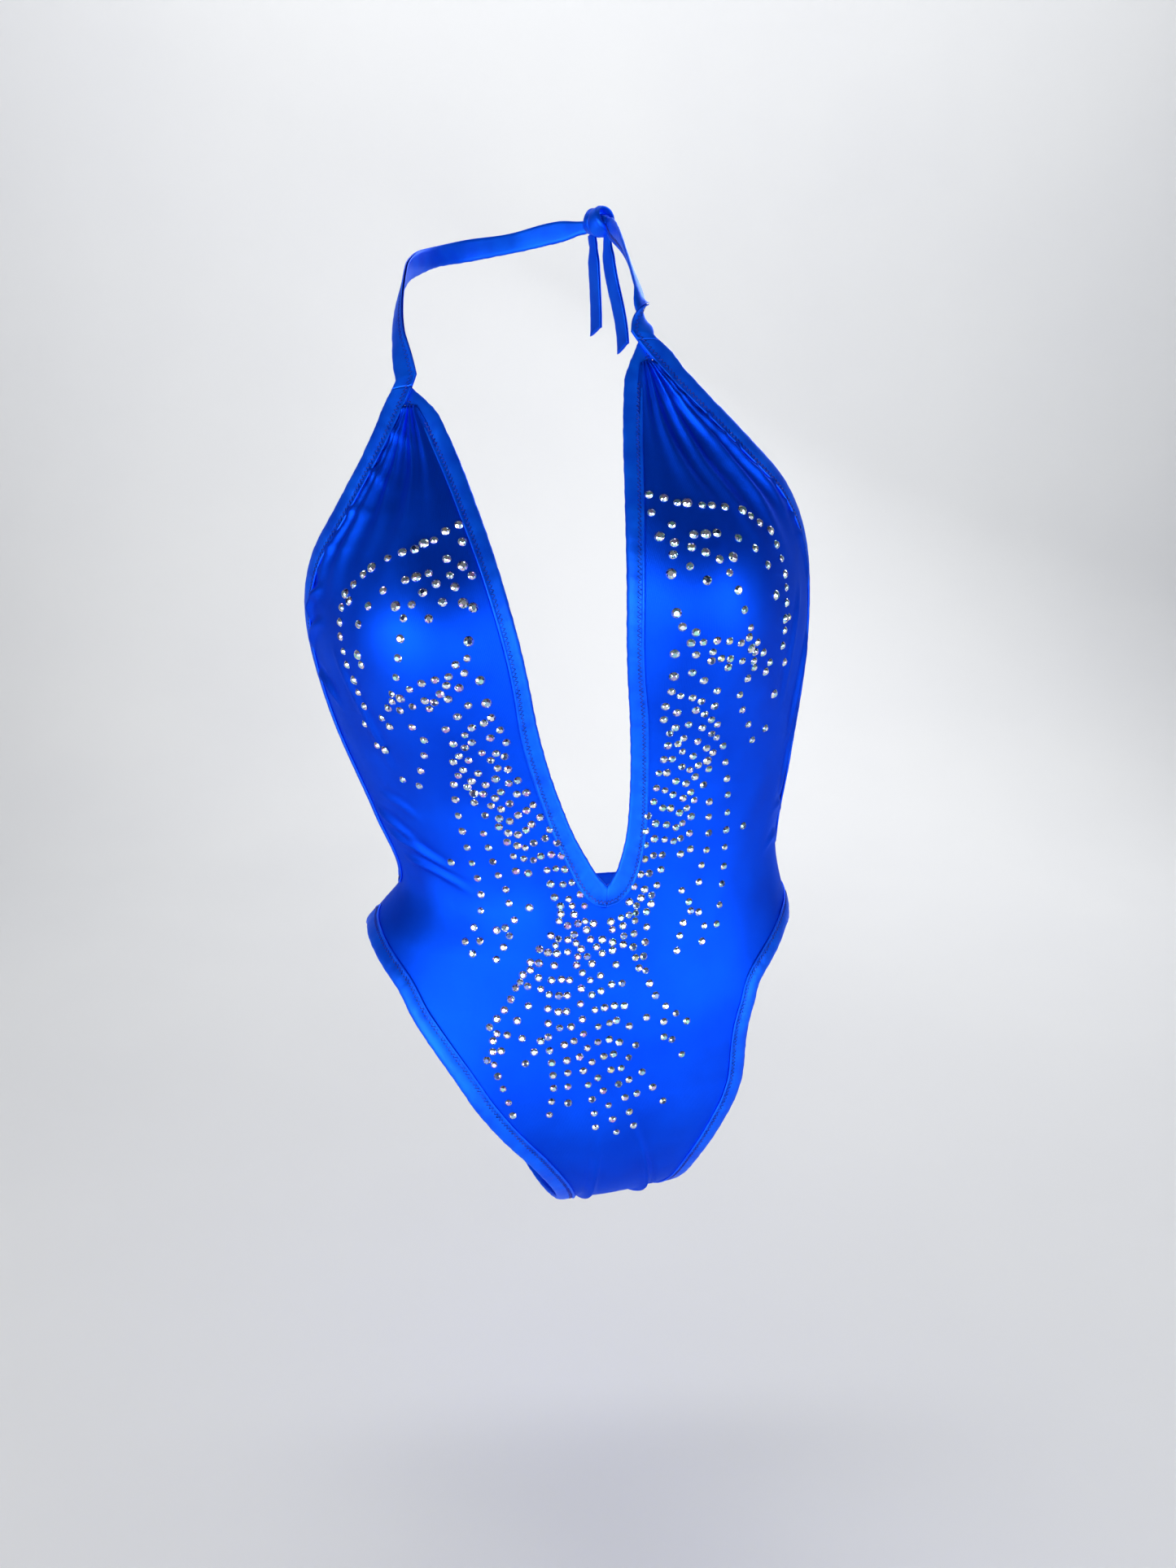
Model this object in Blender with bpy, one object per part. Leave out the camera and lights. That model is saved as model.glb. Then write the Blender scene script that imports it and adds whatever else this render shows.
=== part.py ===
"""Halter-neck competition leotard with a plunging neckline, in the shape it has when worn.

The garment is laid out on a smooth torso form. A place on the form is a pair: the angle around the
body in degrees, counted from the centre front or the centre back, and the height along the spine.
Frame: metres, +Z up, the chest faces -Y, +X is the wearer's left. The origin is the torso's centre
at the waist.
"""

import math

import bpy
import numpy as np

# ---------------------------------------------------------------- driving dimensions, in metres

FABRIC = 0.0006  # thickness of the satin panels
LINING = 0.0006
LAYER_GAP = 0.0004  # clearance between stacked layers
BINDING_WALL = 0.0009  # one leaf of a folded binding strip
NECK_TONGUE = 0.0025  # how far a panel reaches into its binding
LINING_MARGIN = 0.0011  # where lining and interior cells stop short of a seam
SEAM_INSET = 0.0007  # the inner leaf reaches this far past the seam
LEG_BINDING_WIDTH = 0.0105
WAIST_BINDING_WIDTH = 0.0085
ELASTIC_THICKNESS = 0.0005
CORNER_INSET = 0.003  # first cell along an edge next to a corner
BUTT_GAP = 0.00025  # half of the gap between pieces that meet end to end
CROTCH_GAP = 0.0004
WAIST_CORNER_GAP = 0.0007  # where a side binding starts beside the back waist binding
CORNER_EASE = 0.0015  # how far a panel's corner stands back from the side seam inside the bindings

STRAP_WIDTH = 0.0105
STRAP_THICKNESS = 0.0018
KNOT_SIZE = (0.024, 0.015, 0.016)  # along the strap, out from the neck, upright
TAIL_LENGTHS = (0.046, 0.058)
TAIL_SPACING = 0.0135
TAIL_SPLAY = 7.0  # degrees

CRYSTAL_RADIUS = 0.0032
CRYSTAL_TABLE = 0.0015
CRYSTAL_HEIGHT = 0.0021
CRYSTAL_SIDES = 10

# Heights of the layers above the form, from the skin outwards.
INNER_LEAF = (0.0, BINDING_WALL)
LINING_LAYER = (LAYER_GAP, LAYER_GAP + LINING)
PANEL_LOW = BINDING_WALL + LAYER_GAP
PANEL_LAYER = (PANEL_LOW, PANEL_LOW + FABRIC)
OUTER_LEAF_LOW = PANEL_LAYER[1] + LAYER_GAP
OUTER_LEAF = (OUTER_LEAF_LOW, OUTER_LEAF_LOW + 0.0008)

# ---------------------------------------------------------------- the torso form

HIP_LEVEL = -0.115  # below this height the form turns under to the crotch
CROTCH_DROP = 0.106
UNDER_RADIUS = 0.105  # height travelled per radian of the turn under the body

# height along the spine, half width, depth to the front, depth to the back, shift towards +X
SECTIONS = (
    (-0.115, 0.160, 0.088, 0.108, -0.001),
    (-0.070, 0.146, 0.087, 0.102, -0.004),
    (-0.035, 0.127, 0.082, 0.092, -0.006),
    (0.000, 0.113, 0.078, 0.080, 0.000),
    (0.050, 0.123, 0.080, 0.080, 0.000),
    (0.110, 0.135, 0.084, 0.082, 0.000),
    (0.170, 0.140, 0.086, 0.090, 0.000),
    (0.230, 0.140, 0.078, 0.092, 0.000),
    (0.300, 0.130, 0.062, 0.080, 0.000),
)
# height along the spine, lean towards -X and turn of the front towards +X, both in degrees
POSTURE = (
    (-0.250, -4.0, 20.0),
    (-0.115, -4.0, 16.0),
    (-0.050, -2.0, 9.0),
    (0.000, 3.0, 8.0),
    (0.080, 6.0, 4.5),
    (0.160, 6.5, 2.5),
    (0.230, 8.0, 2.0),
    (0.300, 10.0, 2.0),
)
BUST_X = 0.072
BUST_HEIGHT = 0.160
BUST_SWELL = 0.040
BUST_SPREAD = 0.052
BUST_ABOVE = 0.060
BUST_BELOW = 0.075

# height and the angle by which the garment has slipped round the body, in degrees
SLIP_FRONT = ((-0.344, 0.0), (-0.235, 4.0), (-0.170, 1.0), (-0.138, -1.5), (-0.060, -6.0), (0.0, -1.0),
              (0.100, 0.5), (0.180, 1.5), (0.280, 1.0))
SLIP_BACK = ((-0.216, 0.0), (-0.060, -6.0), (0.0, -1.0), (0.1, 0.0))

# ---------------------------------------------------------------- the pattern, as (angle, height)

# Matching points on the centre front and on the leg seam, from the crotch seam to the side seam.
CROTCH_FRONT = -0.344
CROTCH_BACK = 2 * HIP_LEVEL - CROTCH_FRONT - math.pi * UNDER_RADIUS  # the same line, counted down the back
CENTRE_FRONT = ((0, CROTCH_FRONT), (0, -0.305), (0, -0.268), (0, -0.235), (0, -0.200), (0, -0.168),
                (0, -0.135), (0, -0.105), (0, -0.083), (0, -0.062), (0, -0.042), (0, -0.030))
LEG_SEAM_FRONT = ((11.5, CROTCH_FRONT), (9.8, -0.305), (9.3, -0.268), (10, -0.235), (12.4, -0.197),
                  (16.4, -0.168), (23.3, -0.132), (29.5, -0.095), (37.5, -0.069), (47, -0.050),
                  (68, -0.0335), (90, -0.0265))
# Matching points up the plunging neckline and up the open side, from the waist to the strap.
NECK_SEAM = ((0, -0.004), (4, -0.001), (8, 0.010), (11.3, 0.034), (13.0, 0.065), (13.6, 0.095),
             (13.2, 0.125), (13.6, 0.150), (15, 0.180), (17.3, 0.208), (20.3, 0.236), (25.0, 0.269))
NECK_EDGE = ((0, 0.0075), (1.2, 0.0105), (3.6, 0.019), (6.8, 0.039), (9.0, 0.068), (9.9, 0.097),
             (10.1, 0.127), (10.7, 0.152), (12.2, 0.184), (14.3, 0.213), (17.2, 0.241), (23.4, 0.2725))
SIDE_SEAM = ((90, -0.0045), (84, -0.001), (78.5, 0.012), (75, 0.040), (73.5, 0.080), (73, 0.115),
             (71.5, 0.145), (66, 0.168), (55, 0.196), (45, 0.216), (36, 0.241), (27.3, 0.269))
SIDE_EDGE = ((90, 0.004), (86.5, 0.0075), (82.5, 0.0165), (79.5, 0.041), (78.2, 0.080),
             (77.8, 0.116), (76.2, 0.148), (70.5, 0.173), (59, 0.202), (48.7, 0.2225),
             (39.3, 0.2465), (28.6, 0.2728))
STRAP_BASE = (25.9, 0.2762)
# Matching points on the centre back and on the leg seam, from the crotch seam to the side seam.
CENTRE_BACK = ((0, CROTCH_BACK), (0, -0.195), (0, -0.175), (0, -0.157), (0, -0.139), (0, -0.121),
               (0, -0.103), (0, -0.085))
LEG_SEAM_BACK = ((11.5, CROTCH_BACK), (15, -0.192), (21, -0.166), (30, -0.139), (41, -0.110),
                 (55, -0.080), (72, -0.050), (90, -0.0265))
SIDE_EDGE_ANGLES = (88.5, 89.85)  # the last two columns beside the side seam
BACK_WAIST_DIP = -0.056  # height of the waist seam at the centre back

LOWER_ROWS = 18
SIDE_ROWS = 3
WAIST_CROWDING = 1.8  # above 1, the rows beside the side seam crowd towards the waist
UPPER_ROWS = 18
BACK_ROWS = 14
COLUMNS = 8
CROWDING = 1.2  # above 1, columns crowd towards the sides, where the body turns fastest
CENTRE_STRIP = 0.06  # share of the width taken by the column next to the centre front
CUP_LINING_FROM = 6  # first neckline row that the cup lining reaches
GUSSET_ROWS = 5

# ---------------------------------------------------------------- halter, in world metres

NECK_AXIS = (-0.036, 0.010)
KNOT_ANGLE = 35.0  # degrees behind the wearer's left side of the neck
KNOT_REACH = 0.0590  # from the neck's axis to the knot
KNOT_Z = 0.3615
STRAP_ROUTE_RIGHT = ((-0.0909, -0.052, 0.2910), (-0.0922, -0.037, 0.3084), (-0.0912, -0.015, 0.3250),
                     (-0.0895, 0.008, 0.3350), (-0.0820, 0.035, 0.3440), (-0.0640, 0.056, 0.3510),
                     (-0.0380, 0.064, 0.3560), (-0.0150, 0.0600, 0.3600))
STRAP_ROUTE_LEFT = ((0.0324, -0.054, 0.2961), (0.0312, -0.037, 0.3138), (0.0270, -0.018, 0.3321),
                    (0.0225, 0.002, 0.3473))
STRAP_STEP = 0.0045
TWIST_FROM = 0.012  # the wearer's left strap makes half a turn over this stretch
TWIST_OVER = 0.026

# Accent crystals on the wearer's left half, mirrored to the right, as (angle, height).
ACCENTS = ((18.3, 0.188), (26.4, 0.186), (30.6, 0.174), (19.0, 0.171), (19.2, 0.153), (41.8, 0.152),
           (18.7, 0.133), (47.0, 0.098), (28.0, 0.070), (35.5, 0.193), (43.0, 0.182), (24.8, 0.201),
           (46.8, 0.138), (34.5, 0.129))


# ---------------------------------------------------------------- curves


def through(knots, values, places, flat_start=False):
    """A smooth curve through the values at the knots, read at the places."""
    knots = np.asarray(knots, float)
    values = np.asarray(values, float)
    places = np.asarray(places, float)
    slopes = np.empty_like(values)
    slopes[1:-1] = (values[2:] - values[:-2]) / (knots[2:] - knots[:-2])[:, None]
    slopes[0] = 0.0 if flat_start else (values[1] - values[0]) / (knots[1] - knots[0])
    slopes[-1] = (values[-1] - values[-2]) / (knots[-1] - knots[-2])
    cell = np.clip(np.searchsorted(knots, places, side="right") - 1, 0, len(knots) - 2)
    span = (knots[cell + 1] - knots[cell])[..., None]
    t = np.clip((places - knots[cell])[..., None] / span, 0.0, 1.0)
    start = (2 * t**3 - 3 * t**2 + 1) * values[cell] + (t**3 - 2 * t**2 + t) * span * slopes[cell]
    end = (3 * t**2 - 2 * t**3) * values[cell + 1] + (t**3 - t**2) * span * slopes[cell + 1]
    return start + end


def table_at(table, heights, flat_start=True):
    table = np.asarray(table, float)
    return through(table[:, 0], table[:, 1:], heights, flat_start)


def outline(points, rows):
    """The outline resampled at an even number of rows, as an array of (angle, height)."""
    points = np.asarray(points, float)
    return through(np.arange(len(points)), points, np.linspace(0, len(points) - 1, rows + 1))


def unit(vectors):
    return vectors / np.linalg.norm(vectors, axis=-1, keepdims=True)


# ---------------------------------------------------------------- the form


SPINE_HEIGHTS = np.linspace(-0.26, 0.40, 661)


def spine_line():
    """How far the leaning spine has moved sideways and upwards at each of SPINE_HEIGHTS."""
    lean = np.radians(table_at(POSTURE, SPINE_HEIGHTS)[:, 0])
    step = SPINE_HEIGHTS[1] - SPINE_HEIGHTS[0]
    steps = np.stack([-np.sin(lean), np.cos(lean)], axis=-1)
    middle = (steps[1:] + steps[:-1]) / 2
    line = np.concatenate([[[0.0, 0.0]], np.cumsum(middle * step, axis=0)])
    return line - line[np.argmin(np.abs(SPINE_HEIGHTS))]


SPINE = spine_line()


def skin(angle, height, back=False):
    """The point of the form at an angle and a height. Angles count from the centre front, or from
    the centre back, and heights below HIP_LEVEL carry on under the body towards the crotch."""
    angle = np.radians(np.asarray(angle, float))
    height = np.asarray(height, float)
    angle, height = np.broadcast_arrays(angle, height)
    level = np.maximum(height, HIP_LEVEL)
    half_width, front, rear, shift = np.moveaxis(table_at(SECTIONS, level), -1, 0)
    facing = np.cos(angle) * (1.0 if back else -1.0)
    x = half_width * np.sin(angle)
    y = np.where(facing < 0, front, rear) * facing
    rise = np.where(level > BUST_HEIGHT, BUST_ABOVE, BUST_BELOW)
    swell = BUST_SWELL * np.exp(
        -(((np.abs(x) - BUST_X) / BUST_SPREAD) ** 2) - ((level - BUST_HEIGHT) / rise) ** 2
    )
    swell = np.where(facing < 0, swell * np.sqrt(np.abs(facing)), 0.0)
    y = y - swell * np.cos(angle * 0.55)
    x = x + swell * np.sin(angle * 0.55)
    turned = np.clip((HIP_LEVEL - height) / UNDER_RADIUS, 0.0, math.pi)
    turned = math.pi - turned if back else turned
    depth = np.where(turned < math.pi / 2, front, rear)
    reach = 1 / np.sqrt((np.cos(turned) / depth) ** 2 + (np.sin(turned) / CROTCH_DROP) ** 2)
    under = height < HIP_LEVEL
    y = np.where(under, -reach * np.cos(turned) * np.abs(facing), y)
    z = np.where(under, HIP_LEVEL - reach * np.sin(turned) * np.abs(facing), level)
    return posed(x + shift, y, z, level)


def posed(x, y, z, level):
    """The place that a point of the upright form takes when the spine leans and turns."""
    lean, turn = np.moveaxis(np.radians(table_at(POSTURE, level)), -1, 0)
    aside = np.interp(level, SPINE_HEIGHTS, SPINE[:, 0])
    up = np.interp(level, SPINE_HEIGHTS, SPINE[:, 1])
    across = x * np.cos(turn) - y * np.sin(turn)
    rise = z - level
    return np.stack([
        aside + across * np.cos(lean) - rise * np.sin(lean),
        x * np.sin(turn) + y * np.cos(turn),
        up + across * np.sin(lean) + rise * np.cos(lean),
    ], axis=-1)


def outward(angle, height, back=False):
    """The form's outward normal at an angle and a height."""
    step_angle, step_height = 0.01, 1e-4
    ahead, behind = np.add(angle, step_angle), np.subtract(angle, step_angle)
    above, below = np.add(height, step_height), np.subtract(height, step_height)
    around = skin(ahead, height, back) - skin(behind, height, back)
    along = skin(angle, above, back) - skin(angle, below, back)
    normal = unit(np.cross(around, along))
    return -normal if back else normal


def on_body(points, side, back=False):
    """Pattern points of one half laid on the body: mirrored by side and slipped round it."""
    points = np.asarray(points, float)
    slip = table_at(SLIP_BACK if back else SLIP_FRONT, points[..., 1])[..., 0]
    angle = side * points[..., 0] + (-slip if back else slip)
    return angle, points[..., 1]


def lifted(points, side, lift, back=False):
    """World points at a lift above the skin."""
    angle, height = on_body(points, side, back)
    return skin(angle, height, back) + outward(angle, height, back) * lift


# ---------------------------------------------------------------- seam frames

# Shares of the width at which the columns stand, between two seams and from a centre line.
INTERIOR = 1 - (1 - np.arange(COLUMNS + 1) / COLUMNS) ** CROWDING
LOWER_INTERIOR = np.concatenate([[0.0], CENTRE_STRIP + (1 - CENTRE_STRIP) * INTERIOR[:-1]])


class Seam:
    """Frames along a seam: origin, across (from the panel to the finished edge), normal, width."""

    def __init__(self, origin, across, normal, width):
        self.origin = origin
        self.normal = unit(normal)
        self.across = unit(across - self.normal * (across * self.normal).sum(-1, keepdims=True))
        self.width = width
        self.along = unit(np.gradient(origin, axis=0))

    def at(self, row, across, lift, along=0.0):
        return (self.origin[row] + self.across[row] * across + self.normal[row] * lift
                + self.along[row] * along)

    def part(self, first, last):
        rows = slice(first, last)
        return Seam(self.origin[rows], self.across[rows], self.normal[rows], self.width[rows])


def edged_seam(seam, edge, side):
    """Frames of a seam whose finished edge is drawn as its own outline."""
    seam_angle, seam_height = on_body(seam, side)
    edge_angle, edge_height = on_body(edge, side)
    start = skin(seam_angle, seam_height)
    end = skin(edge_angle, edge_height)
    normal = outward(seam_angle, seam_height) + outward(edge_angle, edge_height)
    return Seam(start, end - start, normal, np.linalg.norm(end - start, axis=-1))


def leg_seam(side):
    """Frames round a whole leg opening: up the front from the crotch seam, then down the back."""
    front = outline(LEG_SEAM_FRONT, LOWER_ROWS)
    back = outline(LEG_SEAM_BACK, BACK_ROWS)[-2:0:-1]
    origin = np.concatenate([lifted(front, side, 0.0), lifted(back, side, 0.0, True)])
    normal = np.concatenate([outward(*on_body(front, side)), outward(*on_body(back, side, True), True)])
    along = unit(np.roll(origin, -1, axis=0) - np.roll(origin, 1, axis=0))
    across = np.cross(along, normal) * side
    seam = Seam(origin, across, normal, np.full(len(origin), LEG_BINDING_WIDTH))
    seam.along = along
    return seam


def waist_points():
    """Points of the back waist seam on one half, from the centre back to the side seam."""
    angle = np.concatenate([LOWER_INTERIOR * 90.0, SIDE_EDGE_ANGLES])
    side_height = SIDE_SEAM[0][1]
    height = BACK_WAIST_DIP + (side_height - BACK_WAIST_DIP) * np.sin(np.radians(angle)) ** 2
    return np.stack([angle, height], axis=-1)


def waist_seam():
    """Frames along the whole back waist, from the wearer's right to the wearer's left."""
    half = waist_points()
    points = [lifted(half[::-1], -1, 0.0, True), lifted(half[1:], 1, 0.0, True)]
    normals = [outward(*on_body(half[::-1], -1, True), True), outward(*on_body(half[1:], 1, True), True)]
    origin = np.concatenate(points)
    normal = np.concatenate(normals)
    across = np.cross(np.gradient(origin, axis=0), normal)
    across = across * np.sign(across[:, 2:3])
    return Seam(origin, across, normal, np.full(len(origin), WAIST_BINDING_WIDTH))


NECK_SEAMS = {side: edged_seam(outline(NECK_SEAM, UPPER_ROWS), outline(NECK_EDGE, UPPER_ROWS), side)
              for side in (-1, 1)}
SIDE_SEAMS = {side: edged_seam(outline(SIDE_SEAM, UPPER_ROWS), outline(SIDE_EDGE, UPPER_ROWS), side)
              for side in (-1, 1)}
LEG_SEAMS = {side: leg_seam(side) for side in (-1, 1)}
WAIST_SEAM = waist_seam()
SIDE_NAMES = {-1: "right", 1: "left"}


# ---------------------------------------------------------------- meshes


def material(name, colour, roughness, metallic=0.0):
    made = bpy.data.materials.new(name)
    made.use_nodes = True
    shader = made.node_tree.nodes["Principled BSDF"]
    shader.inputs["Base Color"].default_value = (*colour, 1.0)
    shader.inputs["Roughness"].default_value = roughness
    shader.inputs["Metallic"].default_value = metallic
    return made


def add_object(name, points, faces, look, pivot=None):
    """A mesh object from world points. With a pivot it is parented to that empty."""
    origin = np.zeros(3) if pivot is None else np.array(pivot["place"])
    mesh = bpy.data.meshes.new(name)
    mesh.from_pydata([tuple(map(float, p - origin)) for p in points], [], faces)
    mesh.materials.append(look)
    made = bpy.data.objects.new(name, mesh)
    bpy.context.scene.collection.objects.link(made)
    if pivot is not None:
        made.parent = pivot["empty"]
    return made


def add_pivot(name, place, parent=None):
    empty = bpy.data.objects.new(name, None)
    bpy.context.scene.collection.objects.link(empty)
    offset = np.array(place) - (0 if parent is None else np.array(parent["place"]))
    empty.location = tuple(map(float, offset))
    if parent is not None:
        empty.parent = parent["empty"]
    return {"empty": empty, "place": tuple(place)}


def thick_sheet(name, low, high, triangles, look):
    """A closed solid between two layers of the same triangles, which turn anticlockwise from outside."""
    count = len(low)
    edges = set()
    for a, b, c in triangles:
        edges |= {(a, b), (b, c), (c, a)}
    faces = [(count + a, count + b, count + c) for a, b, c in triangles]
    faces += [(c, b, a) for a, b, c in triangles]
    for a, b in edges:
        if (b, a) not in edges:
            faces += [(a, b, count + b), (a, count + b, count + a)]
    return add_object(name, list(low) + list(high), sorted(faces), look)


def grid_triangles(index, flip, crossed=()):
    """Triangles of a grid of point numbers. Cells in the crossed columns are cut the other way."""
    triangles = []
    for lower, upper in zip(index[:-1], index[1:]):
        for column in range(len(lower) - 1):
            a, b, c, d = lower[column], lower[column + 1], upper[column + 1], upper[column]
            pair = [(a, b, d), (b, c, d)] if column in crossed else [(a, b, c), (a, c, d)]
            triangles += [tuple(reversed(t)) for t in pair] if flip else pair
    return triangles


def sweep(name, rings, look, loop=False, pivot=None, crossed=()):
    """A closed solid through rings of points. Without a loop the two end rings are capped. The sides
    that start at a crossed corner are cut into triangles the other way."""
    count = len(rings[0])
    faces = []
    spans = len(rings) if loop else len(rings) - 1
    for row in range(spans):
        here = row * count
        ahead = (row + 1) % len(rings) * count
        for corner in range(count):
            beside = (corner + 1) % count
            a, b, c, d = here + corner, here + beside, ahead + beside, ahead + corner
            faces += [(a, b, d), (b, c, d)] if corner in crossed else [(a, b, c), (a, c, d)]
    if not loop:
        faces.append(tuple(reversed(range(count))))
        faces.append(tuple((len(rings) - 1) * count + corner for corner in range(count)))
    made = add_object(name, [p for ring in rings for p in ring], faces, look, pivot)
    face_outwards(made)
    return made


def face_outwards(made):
    """Turn the faces round if the solid is inside out."""
    mesh = made.data
    mesh.calc_loop_triangles()
    corners = np.array([[mesh.vertices[v].co[:] for v in tri.vertices] for tri in mesh.loop_triangles])
    if np.linalg.det(corners).sum() < 0:
        mesh.flip_normals()


# ---------------------------------------------------------------- panels and linings


def spread(inner, outer, shares):
    """Points between an inner and an outer outline point."""
    return inner + (outer - inner) * np.asarray(shares)[:, None]


OUTER_COLUMN = (COLUMNS + 1,)


def front_row(side, row, lift):
    """Points of one half row of the front, from the centre or the neckline to the outer edge."""
    upper = row - LOWER_ROWS - SIDE_ROWS
    if row <= LOWER_ROWS:
        inner = outline(CENTRE_FRONT, LOWER_ROWS)[row]
        outer = outline(LEG_SEAM_FRONT, LOWER_ROWS)[row]
        points = lifted(spread(inner, outer, LOWER_INTERIOR), side, lift)
        last = row == LOWER_ROWS
        seam = LEG_SEAMS[side]
        tail = [seam.at(row, -LINING_MARGIN, lift, -CORNER_INSET if last else 0.0),
                seam.at(row, NECK_TONGUE, lift, -BUTT_GAP if last else 0.0)]
        return np.concatenate([points, tail])
    if upper < 0:
        share = 1 - (1 - (row - LOWER_ROWS) / SIDE_ROWS) ** WAIST_CROWDING
        inner = np.array(CENTRE_FRONT[-1]) * (1 - share) + np.array(NECK_SEAM[0]) * share
        outer = np.array(LEG_SEAM_FRONT[-1]) * (1 - share) + np.array(SIDE_SEAM[0]) * share
        points = spread(inner, outer, LOWER_INTERIOR)
        ends = [(angle, outer[1]) for angle in SIDE_EDGE_ANGLES]
        return lifted(np.concatenate([points, ends]), side, lift)
    neck = NECK_SEAMS[side]
    open_side = SIDE_SEAMS[side]
    inner = outline(NECK_SEAM, UPPER_ROWS)[upper]
    outer = outline(SIDE_SEAM, UPPER_ROWS)[upper]
    points = lifted(spread(inner, outer, INTERIOR[1:-1]), side, lift)
    corner = CORNER_INSET if upper == 0 else 0.0
    head = [neck.at(upper, NECK_TONGUE, lift), neck.at(upper, -LINING_MARGIN, lift, corner)]
    tail = [open_side.at(upper, -LINING_MARGIN, lift, corner),
            open_side.at(upper, NECK_TONGUE, lift, CORNER_EASE if upper == 0 else 0.0)]
    return np.concatenate([head, points, tail])


def front_grid(rows, lift, columns=slice(None)):
    """Both halves of the given front rows: a list over rows of (right half, left half)."""
    return [[front_row(side, row, lift)[columns] for side in (-1, 1)] for row in rows]


def sheet_of_halves(name, layers, joined_rows, look, crossed=()):
    """A thick sheet from two mirrored half grids that share their centre points on joined_rows."""
    low, high = layers
    index = [[], []]
    points = [[], []]
    for row, halves in enumerate(low):
        for half in (0, 1):
            numbers = []
            for column in range(len(halves[half])):
                if half == 1 and column == 0 and joined_rows(row):
                    numbers.append(index[0][row][0])
                    continue
                numbers.append(len(points[0]))
                points[0].append(low[row][half][column])
                points[1].append(high[row][half][column])
            index[half].append(numbers)
    triangles = grid_triangles(index[0], True, crossed) + grid_triangles(index[1], False, crossed)
    return thick_sheet(name, points[0], points[1], triangles, look)


def add_front_panel(look):
    rows = range(LOWER_ROWS + SIDE_ROWS + UPPER_ROWS + 1)
    layers = [front_grid(rows, lift) for lift in PANEL_LAYER]
    sheet_of_halves("front_panel", layers, lambda row: row <= LOWER_ROWS + SIDE_ROWS, look, OUTER_COLUMN)


def add_gusset_lining(look):
    rows = range(GUSSET_ROWS + 1)
    layers = [front_grid(rows, lift, slice(0, -1)) for lift in LINING_LAYER]
    sheet_of_halves("gusset_lining", layers, lambda row: True, look)


def add_cup_lining(side, look):
    first = LOWER_ROWS + SIDE_ROWS + CUP_LINING_FROM
    rows = range(first, LOWER_ROWS + SIDE_ROWS + UPPER_ROWS + 1)
    layers = [[front_row(side, row, lift)[1:-1] for row in rows] for lift in LINING_LAYER]
    width = len(layers[0][0])
    index = [[row * width + column for column in range(width)] for row in range(len(layers[0]))]
    thick_sheet("cup_lining_" + SIDE_NAMES[side], np.concatenate(layers[0]), np.concatenate(layers[1]),
                grid_triangles(index, side < 0), look)


def back_row(side, row, lift):
    """Points of one half row of the back, from the centre back to the outer edge."""
    waist = waist_points()
    if row <= BACK_ROWS:
        step = np.array([0.0, CROTCH_GAP if row == 0 else 0.0])
        inner = outline(CENTRE_BACK, BACK_ROWS)[row] + step
        outer = outline(LEG_SEAM_BACK, BACK_ROWS)[row] + step
        points = lifted(spread(inner, outer, LOWER_INTERIOR), side, lift, True)
        seam = LEG_SEAMS[side]
        station = (len(seam.origin) - row) % len(seam.origin)
        ends = {0: (-CROTCH_GAP, -CROTCH_GAP), BACK_ROWS: (CORNER_INSET, BUTT_GAP)}
        near, far = ends.get(row, (0.0, 0.0))
        tail = [seam.at(station, -LINING_MARGIN, lift, near), seam.at(station, NECK_TONGUE, lift, far)]
        return np.concatenate([points, tail])
    if row == BACK_ROWS + 1:
        inner = np.array(CENTRE_BACK[-1])
        outer = np.array(LEG_SEAM_BACK[-1])
        lower = spread(inner, outer, LOWER_INTERIOR)
        middle = (lower + waist[:len(lower)]) / 2
        ends = [(angle, (outer[1] + SIDE_SEAM[0][1]) / 2) for angle in SIDE_EDGE_ANGLES]
        return lifted(np.concatenate([middle, ends]), side, lift, True)
    across = -LINING_MARGIN if row == BACK_ROWS + 2 else NECK_TONGUE
    centre = len(WAIST_SEAM.origin) // 2
    return np.array([WAIST_SEAM.at(centre + side * column, across, lift) for column in range(len(waist))])


def add_back_panel(look):
    rows = range(BACK_ROWS + 4)
    layers = [[[back_row(side, row, lift) for side in (1, -1)] for row in rows] for lift in PANEL_LAYER]
    sheet_of_halves("back_panel", layers, lambda row: True, look)


# ---------------------------------------------------------------- bindings and elastics


def binding_ring(seam, row, along=0.0):
    """The folded strip's section: outer leaf, fold, inner leaf."""
    fold = seam.width[row]
    corners = ((0.0, OUTER_LEAF[1]), (fold, OUTER_LEAF[1]), (fold, INNER_LEAF[0]),
               (-SEAM_INSET, INNER_LEAF[0]), (-SEAM_INSET, INNER_LEAF[1]),
               (fold - BINDING_WALL, INNER_LEAF[1]), (fold - BINDING_WALL, OUTER_LEAF[0]),
               (0.0, OUTER_LEAF[0]))
    return [seam.at(row, across, lift, along) for across, lift in corners]


def elastic_ring(seam, row, along=0.0):
    """The flat elastic between the panel's edge and the fold."""
    near = NECK_TONGUE + 0.0005
    far = seam.width[row] - BINDING_WALL - 0.0005
    low = (INNER_LEAF[1] + OUTER_LEAF[0] - ELASTIC_THICKNESS) / 2
    high = low + ELASTIC_THICKNESS
    corners = ((near, high), (far, high), (far, low), (near, low))
    return [seam.at(row, across, lift, along) for across, lift in corners]


OUTWARD_SIDES = (0, 4)  # corners of a strip's section from which a side runs towards the finished edge


def add_strip(name, ring, seam, look, start_gap=0.0, end_gap=0.0, loop=False, rows=None):
    rows = len(seam.origin) if rows is None else rows
    rings = []
    for row in range(rows):
        along = start_gap if row == 0 else -end_gap if row == rows - 1 else 0.0
        rings.append(ring(seam, row, along))
    return sweep(name, rings, look, loop=loop, crossed=OUTWARD_SIDES)


NARROW_ROWS = 3  # the elastics end this many rows before the strap, where the bindings narrow


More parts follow.
